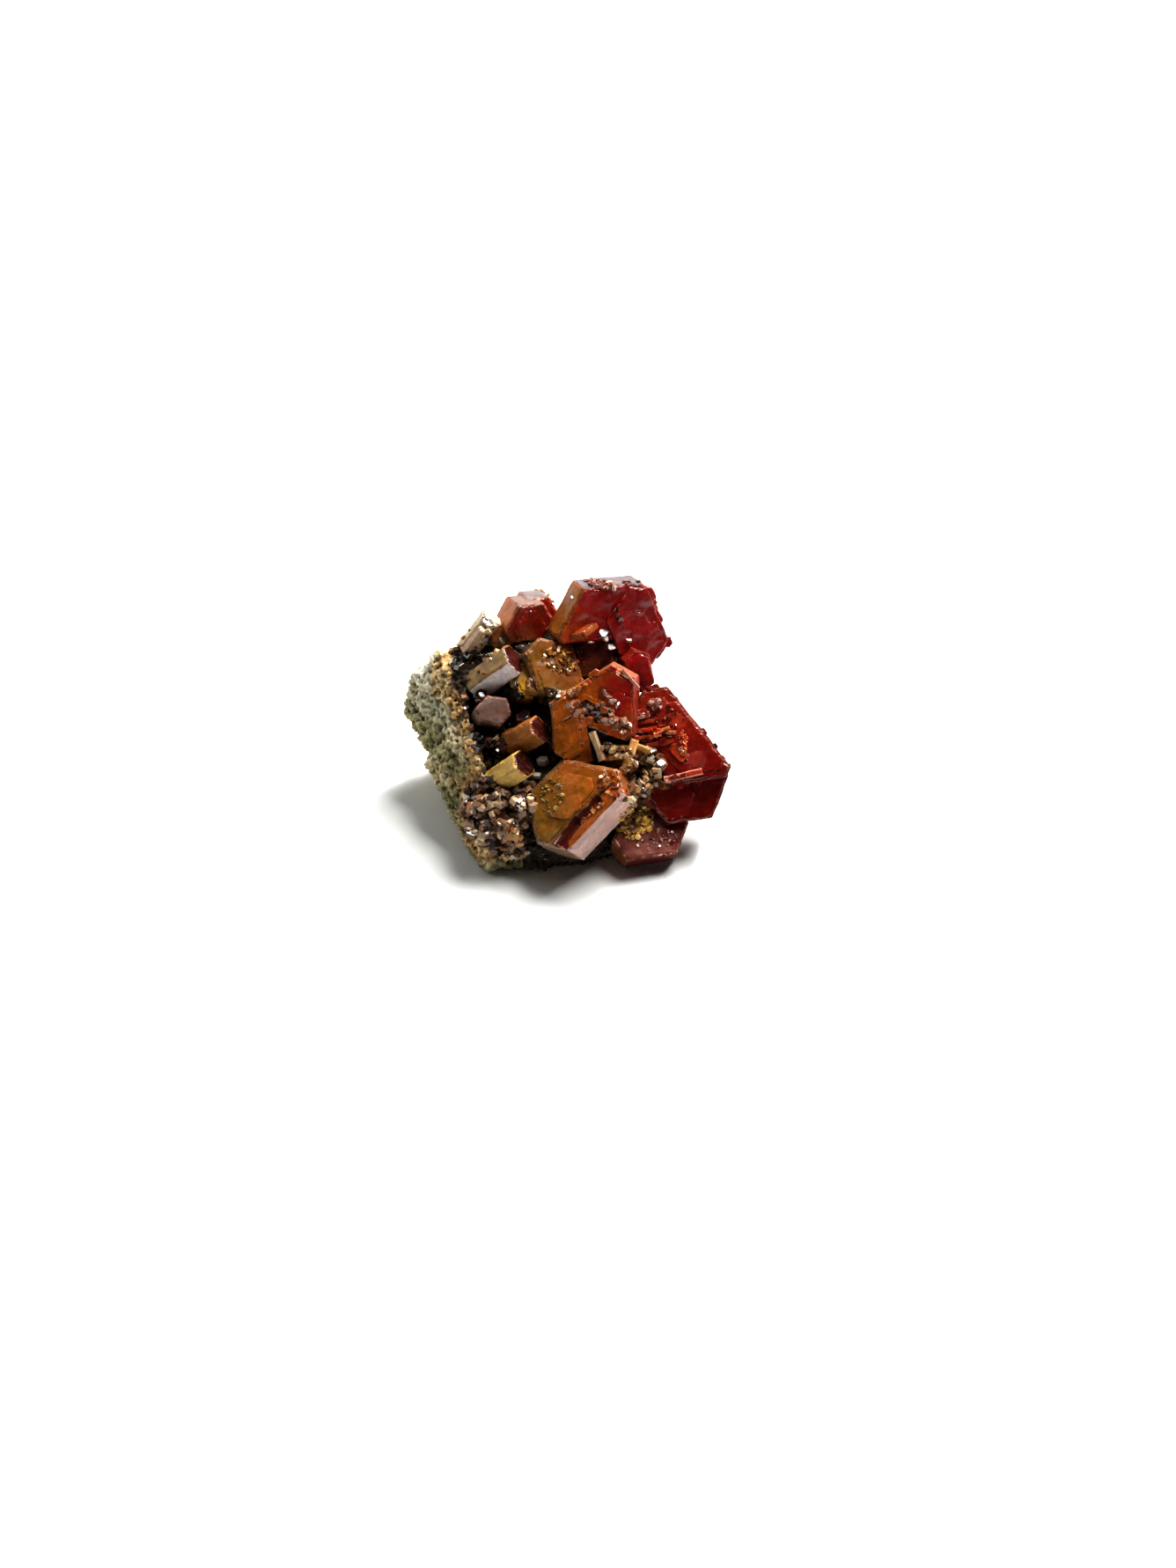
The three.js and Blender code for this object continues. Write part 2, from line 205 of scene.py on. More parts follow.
def apply_modifier(piece: bpy.types.Object, kind: str, **settings: Any) -> None:
    """Adds a modifier to a piece and applies it.

    Args:
        piece: the object that is changed.
        kind: the modifier's type.
        **settings: the modifier's values.
    """
    only(piece)
    modifier = piece.modifiers.new(kind.lower(), kind)
    for name, value in settings.items():
        setattr(modifier, name, value)
    bpy.ops.object.modifier_apply(modifier=modifier.name)


def displace(
    piece: bpy.types.Object,
    kind: str,
    size: float,
    depth: float,
    middle: float = 0.5,
    direction: str = "NORMAL",
    vertex_group: str = "",
    **settings: Any,
) -> None:
    """Moves a piece's surface in and out by a solid pattern.

    Args:
        piece: the object that is changed.
        kind: the pattern's type.
        size: the pattern's size in millimetres.
        depth: how far the surface moves in all, in millimetres.
        middle: the pattern's value that leaves the surface in place.
        direction: the way that the surface moves.
        vertex_group: the vertices that move, or all of them where it has no name.
        **settings: the pattern's other values.
    """
    pattern = bpy.data.textures.new(kind.lower(), kind)
    pattern.noise_scale = size
    for name, value in settings.items():
        setattr(pattern, name, value)
    apply_modifier(
        piece,
        "DISPLACE",
        texture=pattern,
        texture_coords="LOCAL",
        direction=direction,
        vertex_group=vertex_group,
        strength=depth,
        mid_level=middle,
    )
    bpy.data.textures.remove(pattern)


def combine(piece: bpy.types.Object, block: bpy.types.Object, operation: str, solver: str) -> None:
    """Adds a block to a piece or takes it out of it, and removes the block.

    Args:
        piece: the object that is changed.
        block: the object that is used up.
        operation: UNION or DIFFERENCE.
        solver: the way that it is worked out.
    """
    apply_modifier(piece, "BOOLEAN", operation=operation, object=block, solver=solver)
    bpy.data.objects.remove(block)


def piece_of(places: Sequence[Any], faces: Sequence[tuple[int, ...]]) -> bpy.types.Object:
    """Makes an object from places and from the faces between them."""
    bpy.ops.object.select_all(action="DESELECT")
    bpy.ops.mesh.primitive_cube_add(size=1.0)
    piece = bpy.context.object
    piece.data.clear_geometry()
    piece.data.from_pydata(places, [], faces)
    return piece


def settle(piece: bpy.types.Object, name: str) -> None:
    """Names a piece that is modelled in millimetres and brings its mesh to metres."""
    piece.name = name
    piece.data.name = name
    piece.data.transform(Matrix.Scale(MM, 4))


def hand_over(
    piece: bpy.types.Object, materials: Sequence[bpy.types.Material], slot: str, *nodes: str
) -> None:
    """Gives a piece its materials and sets it on the body, in place of the solids that it stands for.

    Args:
        piece: the finished piece.
        materials: its materials, in the order that its faces number them.
        slot: the record's material slot; not used.
        *nodes: the solids that it stands for.
    """
    for material in materials:
        piece.data.materials.append(material)
    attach(piece, BODY)
    if nodes:
        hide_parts(*nodes)
    LOG.info("%s: %d faces", piece.name, len(piece.data.polygons))


def faces_of(mesh: bpy.types.Mesh) -> tuple[np.ndarray, np.ndarray]:
    """Returns the middles and the normals of a mesh's faces."""
    count = len(mesh.polygons)
    middles, normals = np.zeros(count * 3), np.zeros(count * 3)
    mesh.polygons.foreach_get("center", middles)
    mesh.polygons.foreach_get("normal", normals)
    return middles.reshape(-1, 3), normals.reshape(-1, 3)


def corners_of(mesh: bpy.types.Mesh) -> tuple[np.ndarray, np.ndarray]:
    """Returns the places and the normals of a mesh's vertices."""
    count = len(mesh.vertices)
    places, normals = np.zeros(count * 3), np.zeros(count * 3)
    mesh.vertices.foreach_get("co", places)
    mesh.vertices.foreach_get("normal", normals)
    return places.reshape(-1, 3), normals.reshape(-1, 3)


def write_values(mesh: bpy.types.Mesh, name: str, domain: str, values: np.ndarray) -> None:
    """Writes numbers or colours on a mesh for its finish to read.

    Args:
        mesh: the mesh that carries them.
        name: the attribute's name.
        domain: FACE or POINT.
        values: a number or four colour shares for each face or vertex.
    """
    coloured = values.ndim == 2
    attribute = mesh.attributes.new(name, "FLOAT_COLOR" if coloured else "FLOAT", domain)
    attribute.data.foreach_set("color" if coloured else "value", values.astype(np.float32).ravel())


def linear(colour: str) -> Tint:
    """Turns a hex colour into linear values.

    Args:
        colour: the sRGB colour as #rrggbb.

    Returns:
        Red, green, blue and a full alpha.
    """
    shares = [int(colour[i : i + 2], 16) / 255.0 for i in (1, 3, 5)]
    red, green, blue = (s / 12.92 if s <= 0.04045 else ((s + 0.055) / 1.055) ** 2.4 for s in shares)
    return red, green, blue, 1.0


def per_metre(size: float) -> float:
    """Returns the scale of a pattern whose features are so many millimetres apart."""
    return 1.0 / (size * MM)


def add_node(
    tree: bpy.types.NodeTree, kind: str, inputs: dict[str, Any] | Sequence[Any] = (), **settings: Any
) -> bpy.types.Node:
    """Adds a node with its settings and links.

    Args:
        tree: the nodes of a material or of the room.
        kind: the node's type, without its ShaderNode prefix.
        inputs: values or sockets for the node's inputs, by name or in their order.
        **settings: the node's own values, and stops for a colour ramp.

    Returns:
        The new node.
    """
    node = tree.nodes.new("ShaderNode" + kind)
    stops = settings.pop("stops", ())
    for name, value in settings.items():
        setattr(node, name, value)
    for name, value in inputs.items() if isinstance(inputs, dict) else enumerate(inputs):
        if isinstance(value, bpy.types.NodeSocket):
            tree.links.new(value, node.inputs[name])
        else:
            node.inputs[name].default_value = value
    for number, (place, colour) in enumerate(stops):
        elements = node.color_ramp.elements
        element = elements[number] if number < 2 else elements.new(place)
        element.position = place
        element.color = linear(colour)
    return node


def start_material(name: str) -> tuple[bpy.types.Material, bpy.types.Node]:
    """Makes an empty material.

    Args:
        name: the material's name.

    Returns:
        The material and its surface shader.
    """
    material = bpy.data.materials.new(name)
    material.use_nodes = True
    material.node_tree.nodes.clear()
    shader = add_node(material.node_tree, "BsdfPrincipled")
    add_node(material.node_tree, "OutputMaterial", {"Surface": shader.outputs["BSDF"]})
    return material, shader


@dataclass(frozen=True)
class CrystalFinish:
    """Vanadinite: a dense lead mineral with a resinous gloss, cloudy, with a colour that changes across it.

    Grown faces are smooth and mirror what is around, with shallow growth marks that break the mirror up.
    """

    name: str
    colours: tuple[str, str, str]  # along the fade, from its start to its end
    fade: tuple[Vector, Vector]  # where the colours start and end
    cloud_size: float = 2.4
    cloud_share: float = 0.3  # how far the clouds stir the fade
    cloud_tone: tuple[float, float] = (0.8, 1.2)
    mark_size: float = 0.4
    mark_share: float = 0.22
    mark_depth: float = 0.05
    veil: str = "#c86850"  # pale streaks in the crystal
    veil_share: float = 0.22
    veil_size: float = 0.5
    veil_from: tuple[float, float] = (0.5, 0.75)
    veil_turn: tuple[float, float, float] = (0.5, 0.3, 0.6)
    veil_stretch: tuple[float, float, float] = (0.3, 1.0, 1.0)
    edge: str = "#c88c74"  # worn edges
    edge_share: float = 0.5
    edge_from: tuple[float, float] = (0.4, 0.65)
    roughness: tuple[float, float] = (0.16, 0.34)
    side_roughness: tuple[float, float] = (0.3, 0.5)
    wave_size: float = 1.6
    wave_depth: float = 0.3
    swell: float = 0.06
    bump: float = 0.2
    glow: float = 0.15  # share of the light that comes back from below the surface
    glow_depth: float = 0.6
    glow_reach: tuple[float, float, float] = (1.0, 0.25, 0.08)
    ior: float = 1.75
    gloss: float = 0.5

    def dulled(self, gloss: float) -> "CrystalFinish":
        """Returns the finish of the prism faces, which are striated and mirror less."""
        return replace(self, name=f"{self.name}_sides", gloss=gloss, roughness=self.side_roughness)

    def make(self) -> bpy.types.Material:
        """Builds the material.

        Returns:
            The finished material.
        """
        material, shader = start_material(self.name)
        tree = material.node_tree
        place = add_node(tree, "TexCoord").outputs["Object"]
        turned = {"Vector": place, "Rotation": self.veil_turn, "Scale": self.veil_stretch}
        drawn_out = add_node(tree, "Mapping", turned).outputs["Vector"]
        cloud, marks, waves, streaks = (
            add_node(tree, "TexNoise", {"Vector": where, "Scale": per_metre(size), **kind}).outputs["Fac"]
            for where, size, kind in (
                (place, self.cloud_size, CLOUDY),
                (place, self.mark_size, MARKED),
                (place, self.wave_size, WAVY),
                (drawn_out, self.veil_size, STREAKY),
            )
        )
        veiled, uneven, marked, patchy, dull = (
            add_node(tree, "MapRange", (value, *old_range, *new_range)).outputs[0]
            for value, old_range, new_range in (
                (streaks, self.veil_from, (0.0, self.veil_share)),
                (streaks, self.edge_from, (0.0, self.edge_share)),
                (marks, NOISE, (1.0 - self.mark_share, 1.0 + self.mark_share)),
                (cloud, NOISE, self.cloud_tone),
                (cloud, NOISE, self.roughness),
            )
        )
        tint, worn, tone = (
            add_node(tree, "Attribute", attribute_name=name).outputs for name in ("tint", "edge", "tone")
        )
        rubbed = add_node(tree, "Math", (worn["Fac"], uneven), operation="MULTIPLY").outputs[0]
        colour = self.add_fade(tree, place, cloud)
        for share, over in (
            (tint["Alpha"], tint["Color"]),
            (veiled, linear(self.veil)),
            (rubbed, linear(self.edge)),
        ):
            colour = add_node(tree, "MixRGB", (share, colour, over)).outputs["Color"]
        light = marked
        for factor in (patchy, tone["Fac"]):
            light = add_node(tree, "Math", (light, factor), operation="MULTIPLY").outputs[0]
        toned = add_node(tree, "MixRGB", (1.0, colour, light), blend_type="MULTIPLY")
        swollen = {"Height": waves, "Strength": self.swell, "Distance": self.wave_depth * MM}
        swell = add_node(tree, "Bump", swollen)
        etched = {"Height": marks, "Strength": self.bump, "Distance": self.mark_depth * MM}
        relief = add_node(tree, "Bump", {**etched, "Normal": swell.outputs["Normal"]})
        tree.links.new(toned.outputs["Color"], shader.inputs["Base Color"])
        tree.links.new(dull, shader.inputs["Roughness"])
        tree.links.new(relief.outputs["Normal"], shader.inputs["Normal"])
        shader.inputs["IOR"].default_value = self.ior
        shader.inputs["Specular IOR Level"].default_value = self.gloss
        shader.inputs["Subsurface Weight"].default_value = self.glow
        shader.inputs["Subsurface Radius"].default_value = self.glow_reach
        shader.inputs["Subsurface Scale"].default_value = self.glow_depth * MM
        return material

    def add_fade(
        self, tree: bpy.types.NodeTree, place: bpy.types.NodeSocket, cloud: bpy.types.NodeSocket
    ) -> bpy.types.NodeSocket:
        """Adds the colours that change across the crystals.

        Args:
            tree: the material's nodes.
            place: the place on the piece.
            cloud: the pattern that stirs the fade.

        Returns:
            The colour.
        """
        start, end = (p * MM for p in self.fade)
        span = end - start
        from_start = add_node(tree, "VectorMath", (place, start), operation="SUBTRACT")
        ahead = (from_start.outputs["Vector"], span / span.length_squared)
        run = add_node(tree, "VectorMath", ahead, operation="DOT_PRODUCT")
        stirred = add_node(tree, "MapRange", (cloud, *NOISE, -self.cloud_share, self.cloud_share))
        shade = add_node(tree, "Math", (run.outputs["Value"], stirred.outputs[0]), operation="ADD")
        ramp = add_node(tree, "ValToRGB", (shade.outputs[0],), stops=zip(STOPS, self.colours))
        return ramp.outputs["Color"]


@dataclass(frozen=True)
class DruseFinish:
    """Small vanadinite crystals: the same resinous gloss, each of its own colour, so that they sparkle."""

    name: str
    mark_size: float = 0.25
    mark_tone: tuple[float, float] = (0.75, 1.2)
    mark_depth: float = 0.05
    bump: float = 0.25
    roughness: float = 0.22
    ior: float = 1.75

    def make(self) -> bpy.types.Material:
        """Builds the material.

        Returns:
            The finished material.
        """
        material, shader = start_material(self.name)
        tree = material.node_tree
        place = add_node(tree, "TexCoord").outputs["Object"]
        pattern = {"Vector": place, "Scale": per_metre(self.mark_size), **ETCHED}
        marks = add_node(tree, "TexNoise", pattern).outputs["Fac"]
        depth = add_node(tree, "MapRange", (marks, *NOISE, *self.mark_tone)).outputs[0]
        tint = add_node(tree, "Attribute", attribute_name="tint").outputs["Color"]
        toned = add_node(tree, "MixRGB", (1.0, tint, depth), blend_type="MULTIPLY")
        etched = {"Height": marks, "Strength": self.bump, "Distance": self.mark_depth * MM}
        relief = add_node(tree, "Bump", etched)
        tree.links.new(toned.outputs["Color"], shader.inputs["Base Color"])
        tree.links.new(relief.outputs["Normal"], shader.inputs["Normal"])
        shader.inputs["Roughness"].default_value = self.roughness
        shader.inputs["IOR"].default_value = self.ior
        return material


@dataclass(frozen=True)
class RockFinish:
    """Broken country rock: dull, pale green-grey with dark pits, ochre at its rim and brown inside. Its top
    is paler, partly with painted light; its foot is darker with painted shade, and its brown inside is
    darkened further with painted shade.
    """

    name: str = "broken_rock"
    body: tuple[str, str, str] = ("#6e683e", "#b4ac7c", "#e8e0c4")  # from the darkest to the palest
    crust: tuple[str, str, str] = ("#664826", "#d4ac6c", "#fcecc8")
    # The inside of the hollow: brown, darkened further with painted shade
    shaded_inner: tuple[str, str, str] = ("#160d08", "#322216", "#543e28")
    pit: str = "#2a2616"
    grain_size: float = 0.5
    blotch_size: float = 3.0
    tone_from: tuple[float, float] = (0.75, 1.25)  # sums of grain and blotches, dark to pale
    stain_size: float = 6.0
    stain_share: float = 0.55
    stain_from: tuple[float, float] = (0.48, 0.62)
    # A paler top: partly the rock's own colour, partly painted light from above
    pale_lit_top: str = "#f4f0d8"
    pale_lit_top_share: float = 0.7
    pale_lit_top_from: tuple[float, float] = (9.0, 13.0)  # heights between which the rock turns pale, partly with painted light
    shaded_foot_tone: float = 0.68
    shaded_foot: tuple[float, float] = (4.0, 9.0)  # heights between which it is darker: painted shade at its foot
    borders: tuple[float, float] = (-0.8, 1.1)  # how far inside of the rim the crust and the inside start
    border_width: float = 0.6
    torn: float = 1.0  # how far the borders stray
    bump: float = 0.6
    grain_depth: float = 0.15
    roughness: float = 0.9
    ior: float = 1.5

    def make(self) -> bpy.types.Material:
        """Builds the material.

        Returns:
            The finished material.
        """
        material, shader = start_material(self.name)
        tree = material.node_tree
        place = add_node(tree, "TexCoord").outputs["Object"]
        blotch, grain, stain = (
            add_node(tree, "TexNoise", {"Vector": place, "Scale": per_metre(size), **kind}).outputs["Fac"]
            for size, kind in (
                (self.blotch_size, BLOTCHY),
                (self.grain_size, GRAINY),
                (self.stain_size, STAINED),
            )
        )
        mixed = add_node(tree, "Math", (blotch, grain), operation="ADD").outputs[0]
        height = add_node(tree, "SeparateXYZ", (place,)).outputs["Z"]
        # A tone, stains, a paler top that is partly painted light, painted shade at the foot, and stray
        # borders
        tone, stained, top_light, shade, torn = (
            add_node(tree, "MapRange", (value, *old_range, *new_range)).outputs[0]
            for value, old_range, new_range in (
                (mixed, self.tone_from, (0.0, 1.0)),
                (stain, self.stain_from, (0.0, self.stain_share)),
                (height, (z * MM for z in self.pale_lit_top_from), (0.0, self.pale_lit_top_share)),
                (height, (z * MM for z in self.shaded_foot), (self.shaded_foot_tone, 1.0)),
                (blotch, NOISE, (-self.torn, self.torn)),
            )
        )
        body, crust, shaded_inner = (
            add_node(tree, "ValToRGB", (tone,), stops=zip(STOPS, colours)).outputs["Color"]
            for colours in (self.body, self.crust, self.shaded_inner)
        )
        inside, pit = (
            add_node(tree, "Attribute", attribute_name=name).outputs["Fac"] for name in ("inside", "pit")
        )
        colour = add_node(tree, "MixRGB", (stained, body, crust)).outputs["Color"]
        # Paler towards the top, partly painted light
        colour = add_node(tree, "MixRGB", (top_light, colour, linear(self.pale_lit_top))).outputs["Color"]
        # Darker at the foot: painted shade
        colour = add_node(tree, "MixRGB", (1.0, colour, shade), blend_type="MULTIPLY").outputs["Color"]
        border = add_node(tree, "Math", (inside, torn), operation="ADD").outputs[0]
        # The crust at the rim, then the inside of the hollow, darkened with painted shade
        for start, over in zip(self.borders, (crust, shaded_inner)):
            across = (border, start, start + self.border_width, 0.0, 1.0)
            share = add_node(tree, "MapRange", across).outputs[0]
            colour = add_node(tree, "MixRGB", (share, colour, over)).outputs["Color"]
        pitted = add_node(tree, "MixRGB", (pit, colour, linear(self.pit)))
        rough = {"Height": grain, "Strength": self.bump, "Distance": self.grain_depth * MM}
        relief = add_node(tree, "Bump", rough)
        tree.links.new(pitted.outputs["Color"], shader.inputs["Base Color"])
        tree.links.new(relief.outputs["Normal"], shader.inputs["Normal"])
        shader.inputs["Roughness"].default_value = self.roughness
        shader.inputs["IOR"].default_value = self.ior
        return material


@dataclass(frozen=True)
class PaperFinish:
    """White paper: matt and even."""

    name: str = "white_paper"
    colour: str = "#f2f3f0"
    roughness: float = 0.95

    def make(self) -> bpy.types.Material:
        """Builds the material.

        Returns:
            The finished material.
        """
        material, shader = start_material(self.name)
        shader.inputs["Base Color"].default_value = linear(self.colour)
        shader.inputs["Roughness"].default_value = self.roughness
        return material


@dataclass(frozen=True)
class Prism:
    """One six-sided crystal, placed by the centre of its outer end."""

    face: Vector
    axis: Vector
    sides: Sequence[float] | float
    length: float
    spin: float = 0.0
    bevel: float = 0.0
    end_colour: str = ""  # in place of the finish's own
    side_colour: str | Sequence[str] | None = None  # in place of its group's, for all sides or one by one
    matt: bool = False  # its end is as dull as its sides

    def frame(self) -> tuple[Vector, Vector, Vector]:
        """Returns the directions across and up its end, and out of it."""
        out = self.axis.normalized()
        across = (RIGHT - out * out.x).normalized()
        return across, out.cross(across), out

    def distances(self) -> list[float]:
        """Returns the distances of its six sides from the middle of its end."""
        return [self.sides] * 6 if isinstance(self.sides, float) else list(self.sides)

    def side_normals(self, quarter: float = 0.0) -> list[Vector]:
        """Returns the outward directions of its six sides, turned by an angle."""
        across, upward, _ = self.frame()
        turns = [math.radians(self.spin) + k * SIXTH_TURN + quarter for k in range(6)]
        return [across * math.cos(turn) + upward * math.sin(turn) for turn in turns]

    def side_colours(self) -> Sequence[str | None]:
        """Returns the colours of its six sides, none where they are its group's."""
        alike = self.side_colour is None or isinstance(self.side_colour, str)
        return [self.side_colour] * 6 if alike else self.side_colour

    def planes(self) -> list[tuple[Vector, Vector, str | None]]:
        """Returns a point, the outward direction and the colour for each of its faces."""
        _, _, out = self.frame()
        colours = self.side_colours()
        faces = [(self.face, out, self.end_colour), (self.face - out * self.length, -out, colours[0])]
        for normal, distance, colour in zip(self.side_normals(), self.distances(), colours):
            faces.append((self.face + normal * distance, normal, colour))
            if self.bevel:
                slope = (normal + out).normalized()
                faces.append((self.face + normal * (distance - self.bevel), slope, colour))
        return faces

    def holds(self, place: Vector, margin: float) -> bool:
        """Tells whether a place is in the crystal or as near to it as the margin."""
        return all((place - on).dot(normal) < margin for on, normal, _ in self.planes())

    def cut(self) -> bpy.types.Object:
        """Cuts the crystal from a block.

        Returns:
            The closed, sharp-edged crystal.
        """
        bpy.ops.object.select_all(action="DESELECT")
        bpy.ops.mesh.primitive_cube_add(size=BLOCK)
        bpy.ops.object.mode_set(mode="EDIT")
        for place, normal, _ in self.planes():
            bpy.ops.mesh.select_all(action="SELECT")
            bpy.ops.mesh.bisect(plane_co=place, plane_no=normal, use_fill=True, clear_outer=True)
        bpy.ops.object.mode_set(mode="OBJECT")
        return bpy.context.object

    def meet(self, right: float, up: float) -> Vector:
        """Finds where a line of sight meets the plane of its end.

        Args:
            right: millimetres to the right, as seen.
            up: millimetres up, as seen.

        Returns:
            The place on the plane.
        """
        _, _, out = self.frame()
        ray = at(right, up, 0.0) - EYE
        return EYE + ray * ((self.face - EYE).dot(out) / ray.dot(out))

    def grow(
        self, right: float, up: float, rise: float, sides: Sequence[float] | float, **others: Any
    ) -> "Prism":
        """Makes a smaller crystal that stands on its end, parallel to it.

        Args:
            right: millimetres to the right of the small crystal's middle, as seen.
            up: millimetres up, as seen.
            rise: how far it stands out.
            sides: the distances of its sides.
            **others: other fields that differ from this crystal's.

        Returns:
            The smaller crystal.
        """
        _, _, out = self.frame()
        place = self.meet(right, up) + out * rise
        fields = {"length": rise + PLATE_ROOT, "bevel": 0.0, "end_colour": "", "side_colour": "", **others}
        return replace(self, face=place, sides=sides, **fields)

    def ridge(
        self,
        start: tuple[float, float],
        end: tuple[float, float],
        width: float,
        rise: float,
        colour: str = "",
    ) -> "Prism":
        """Makes a long crystal that lies on its end.

        Args:
            start: right and up of the ridge's start, as seen.
            end: right and up of its end, as seen.
            width: half of its width.
            rise: how far it stands out.
            colour: its colour.

        Returns:
            The ridge.
        """
        _, _, out = self.frame()
        first, last = self.meet(*start), self.meet(*end)
        lift = out * (rise - width)
        ridge = Prism(last + lift, last - first, width, (last - first).length, 0.0, 0.0, colour, colour)
        across, upward, _ = ridge.frame()
        spin = math.degrees(math.atan2(out.dot(upward), out.dot(across)))
        return replace(ridge, spin=spin)

    def turned_over(self) -> "Prism":
        """Returns the same crystal, placed by its other end."""
        _, _, out = self.frame()
        sides, colours = self.distances(), self.side_colours()
        return replace(
            self,
            face=self.face - out * self.length,
            axis=-self.axis,
            sides=[sides[-k] for k in range(6)],
            spin=-self.spin,
            side_colour=[colours[-k] for k in range(6)],
        )

    def terraces(self, count: int, draw: Draw) -> list["Prism"]:
        """Makes low growth plates on its end, with sides parallel to its own.

        Args:
            count: how many plates.
            draw: the random numbers.

        Returns:
            The plates, each a thin prism sunk in the end.
        """
        across, upward, out = self.frame()
        normals, limits = self.side_normals(), self.distances()
        plates = []
        for _ in range(count):
            corner = draw.between(0.0, 2.0 * math.pi)
            off = draw.between(*PLATE_OFF) * min(limits)
            shift = across * (off * math.cos(corner)) + upward * (off * math.sin(corner))
            width = draw.between(*PLATE_WIDTH) * sum(limits) / 6
            rise = draw.between(*PLATE_RISE)
            room = [limit - shift.dot(normal) - self.bevel for limit, normal in zip(limits, normals)]
            sides = [min(space, width * draw.between(*PLATE_UNEVEN)) for space in room]
            if min(sides) > LEAST_PLATE:
                place = self.face + shift + out * rise
                fields = {"length": PLATE_LENGTH, "bevel": 0.0, "side_colour": ""}
                plates.append(replace(self, face=place, sides=sides, **fields))
        return plates

    def fringe(
        self, edges: Sequence[int], count: int, size: tuple[float, float], draw: Draw
    ) -> list["Prism"]:
        """Makes small crystals along some edges of its end, which break the edges up.

        Args:
            edges: the numbers of the sides.
            count: how many small crystals on each.
            size: the distance of their sides, least and most.
            draw: the random numbers.

        Returns:
            The small crystals.
        """
        _, _, out = self.frame()
        normals, tangents, limits = self.side_normals(), self.side_normals(math.pi / 2), self.distances()
        small = []
        for k in edges:
            low, high = (
                sign * (limits[(k + sign) % 6] - limits[k] * math.cos(SIXTH_TURN)) / math.sin(SIXTH_TURN)
                for sign in (-1, 1)
            )
            for _ in range(count):
                apothem = draw.between(*size)
                edge = normals[k] * (limits[k] - apothem * draw.between(*FRINGE_IN))
                place = self.face + edge + tangents[k] * draw.between(low, high)
                place = place + out * draw.between(*FRINGE_OUT) * apothem
                tilted = out + normals[k] * draw.aside(FRINGE_LEAN) + tangents[k] * draw.aside(FRINGE_LEAN)
                sides = [apothem * draw.between(*FRINGE_UNEVEN) for _ in range(6)]
                fields = {"length": FRINGE_LENGTH * apothem, "bevel": FRINGE_BEVEL}
                small.append(replace(self, face=place, axis=tilted, sides=sides, **fields))
        return small


def scattered(
    middle: Vector,
    axis: Vector,
    reach: tuple[float, float],
    rise: tuple[float, float],
    size: tuple[float, float],
    root: float,
    lean: float,
    count: int,
    seed: int,
) -> list[Prism]:
    """Scatters small crystals over a patch, at the places of the solids.

    Args:
        middle: the middle of the patch.
        axis: where the patch looks.
        reach: how far the patch goes across and up.
        rise: how far a crystal stands out, least and most.
        size: the distance of its sides, least and most.
        root: how deep it goes in.
        lean: how far it leans.
        count: how many crystals.
        seed: start of the random numbers.

    Returns:
        The crystals.
    """
    draw = Draw(seed)
    across, upward, out = Prism(middle, axis, 1.0, 1.0).frame()
    prisms = []
    for _ in range(count):
        turn = 2.0 * math.pi * draw.share()
        distance = math.sqrt(draw.share())
        height = draw.between(*rise)
        face = middle + across * (reach[0] * distance * math.cos(turn))
        face = face + upward * (reach[1] * distance * math.sin(turn)) + out * height
        tilted = out + across * draw.aside(lean)
        tilted = tilted + upward * draw.aside(lean)
        apothem = draw.between(*size)
        spin = SIXTH_DEGREES * draw.share()
        prisms.append(Prism(face, tilted, apothem, height + root, spin, SCATTER_BEVEL * apothem))
    return prisms


def hull_of(corners: Sequence[Vector]) -> bpy.types.Object:
    """Makes the closed hull of some corners.

    Args:
        corners: the places that it is drawn around.

    Returns:
        The hull.
    """
    piece = piece_of([tuple(corner) for corner in corners], [])
    bpy.ops.object.mode_set(mode="EDIT")
    bpy.ops.mesh.select_all(action="SELECT")
    bpy.ops.mesh.convex_hull()
    bpy.ops.mesh.select_all(action="SELECT")
    bpy.ops.mesh.normals_make_consistent(inside=False)
    bpy.ops.object.mode_set(mode="OBJECT")
    return piece


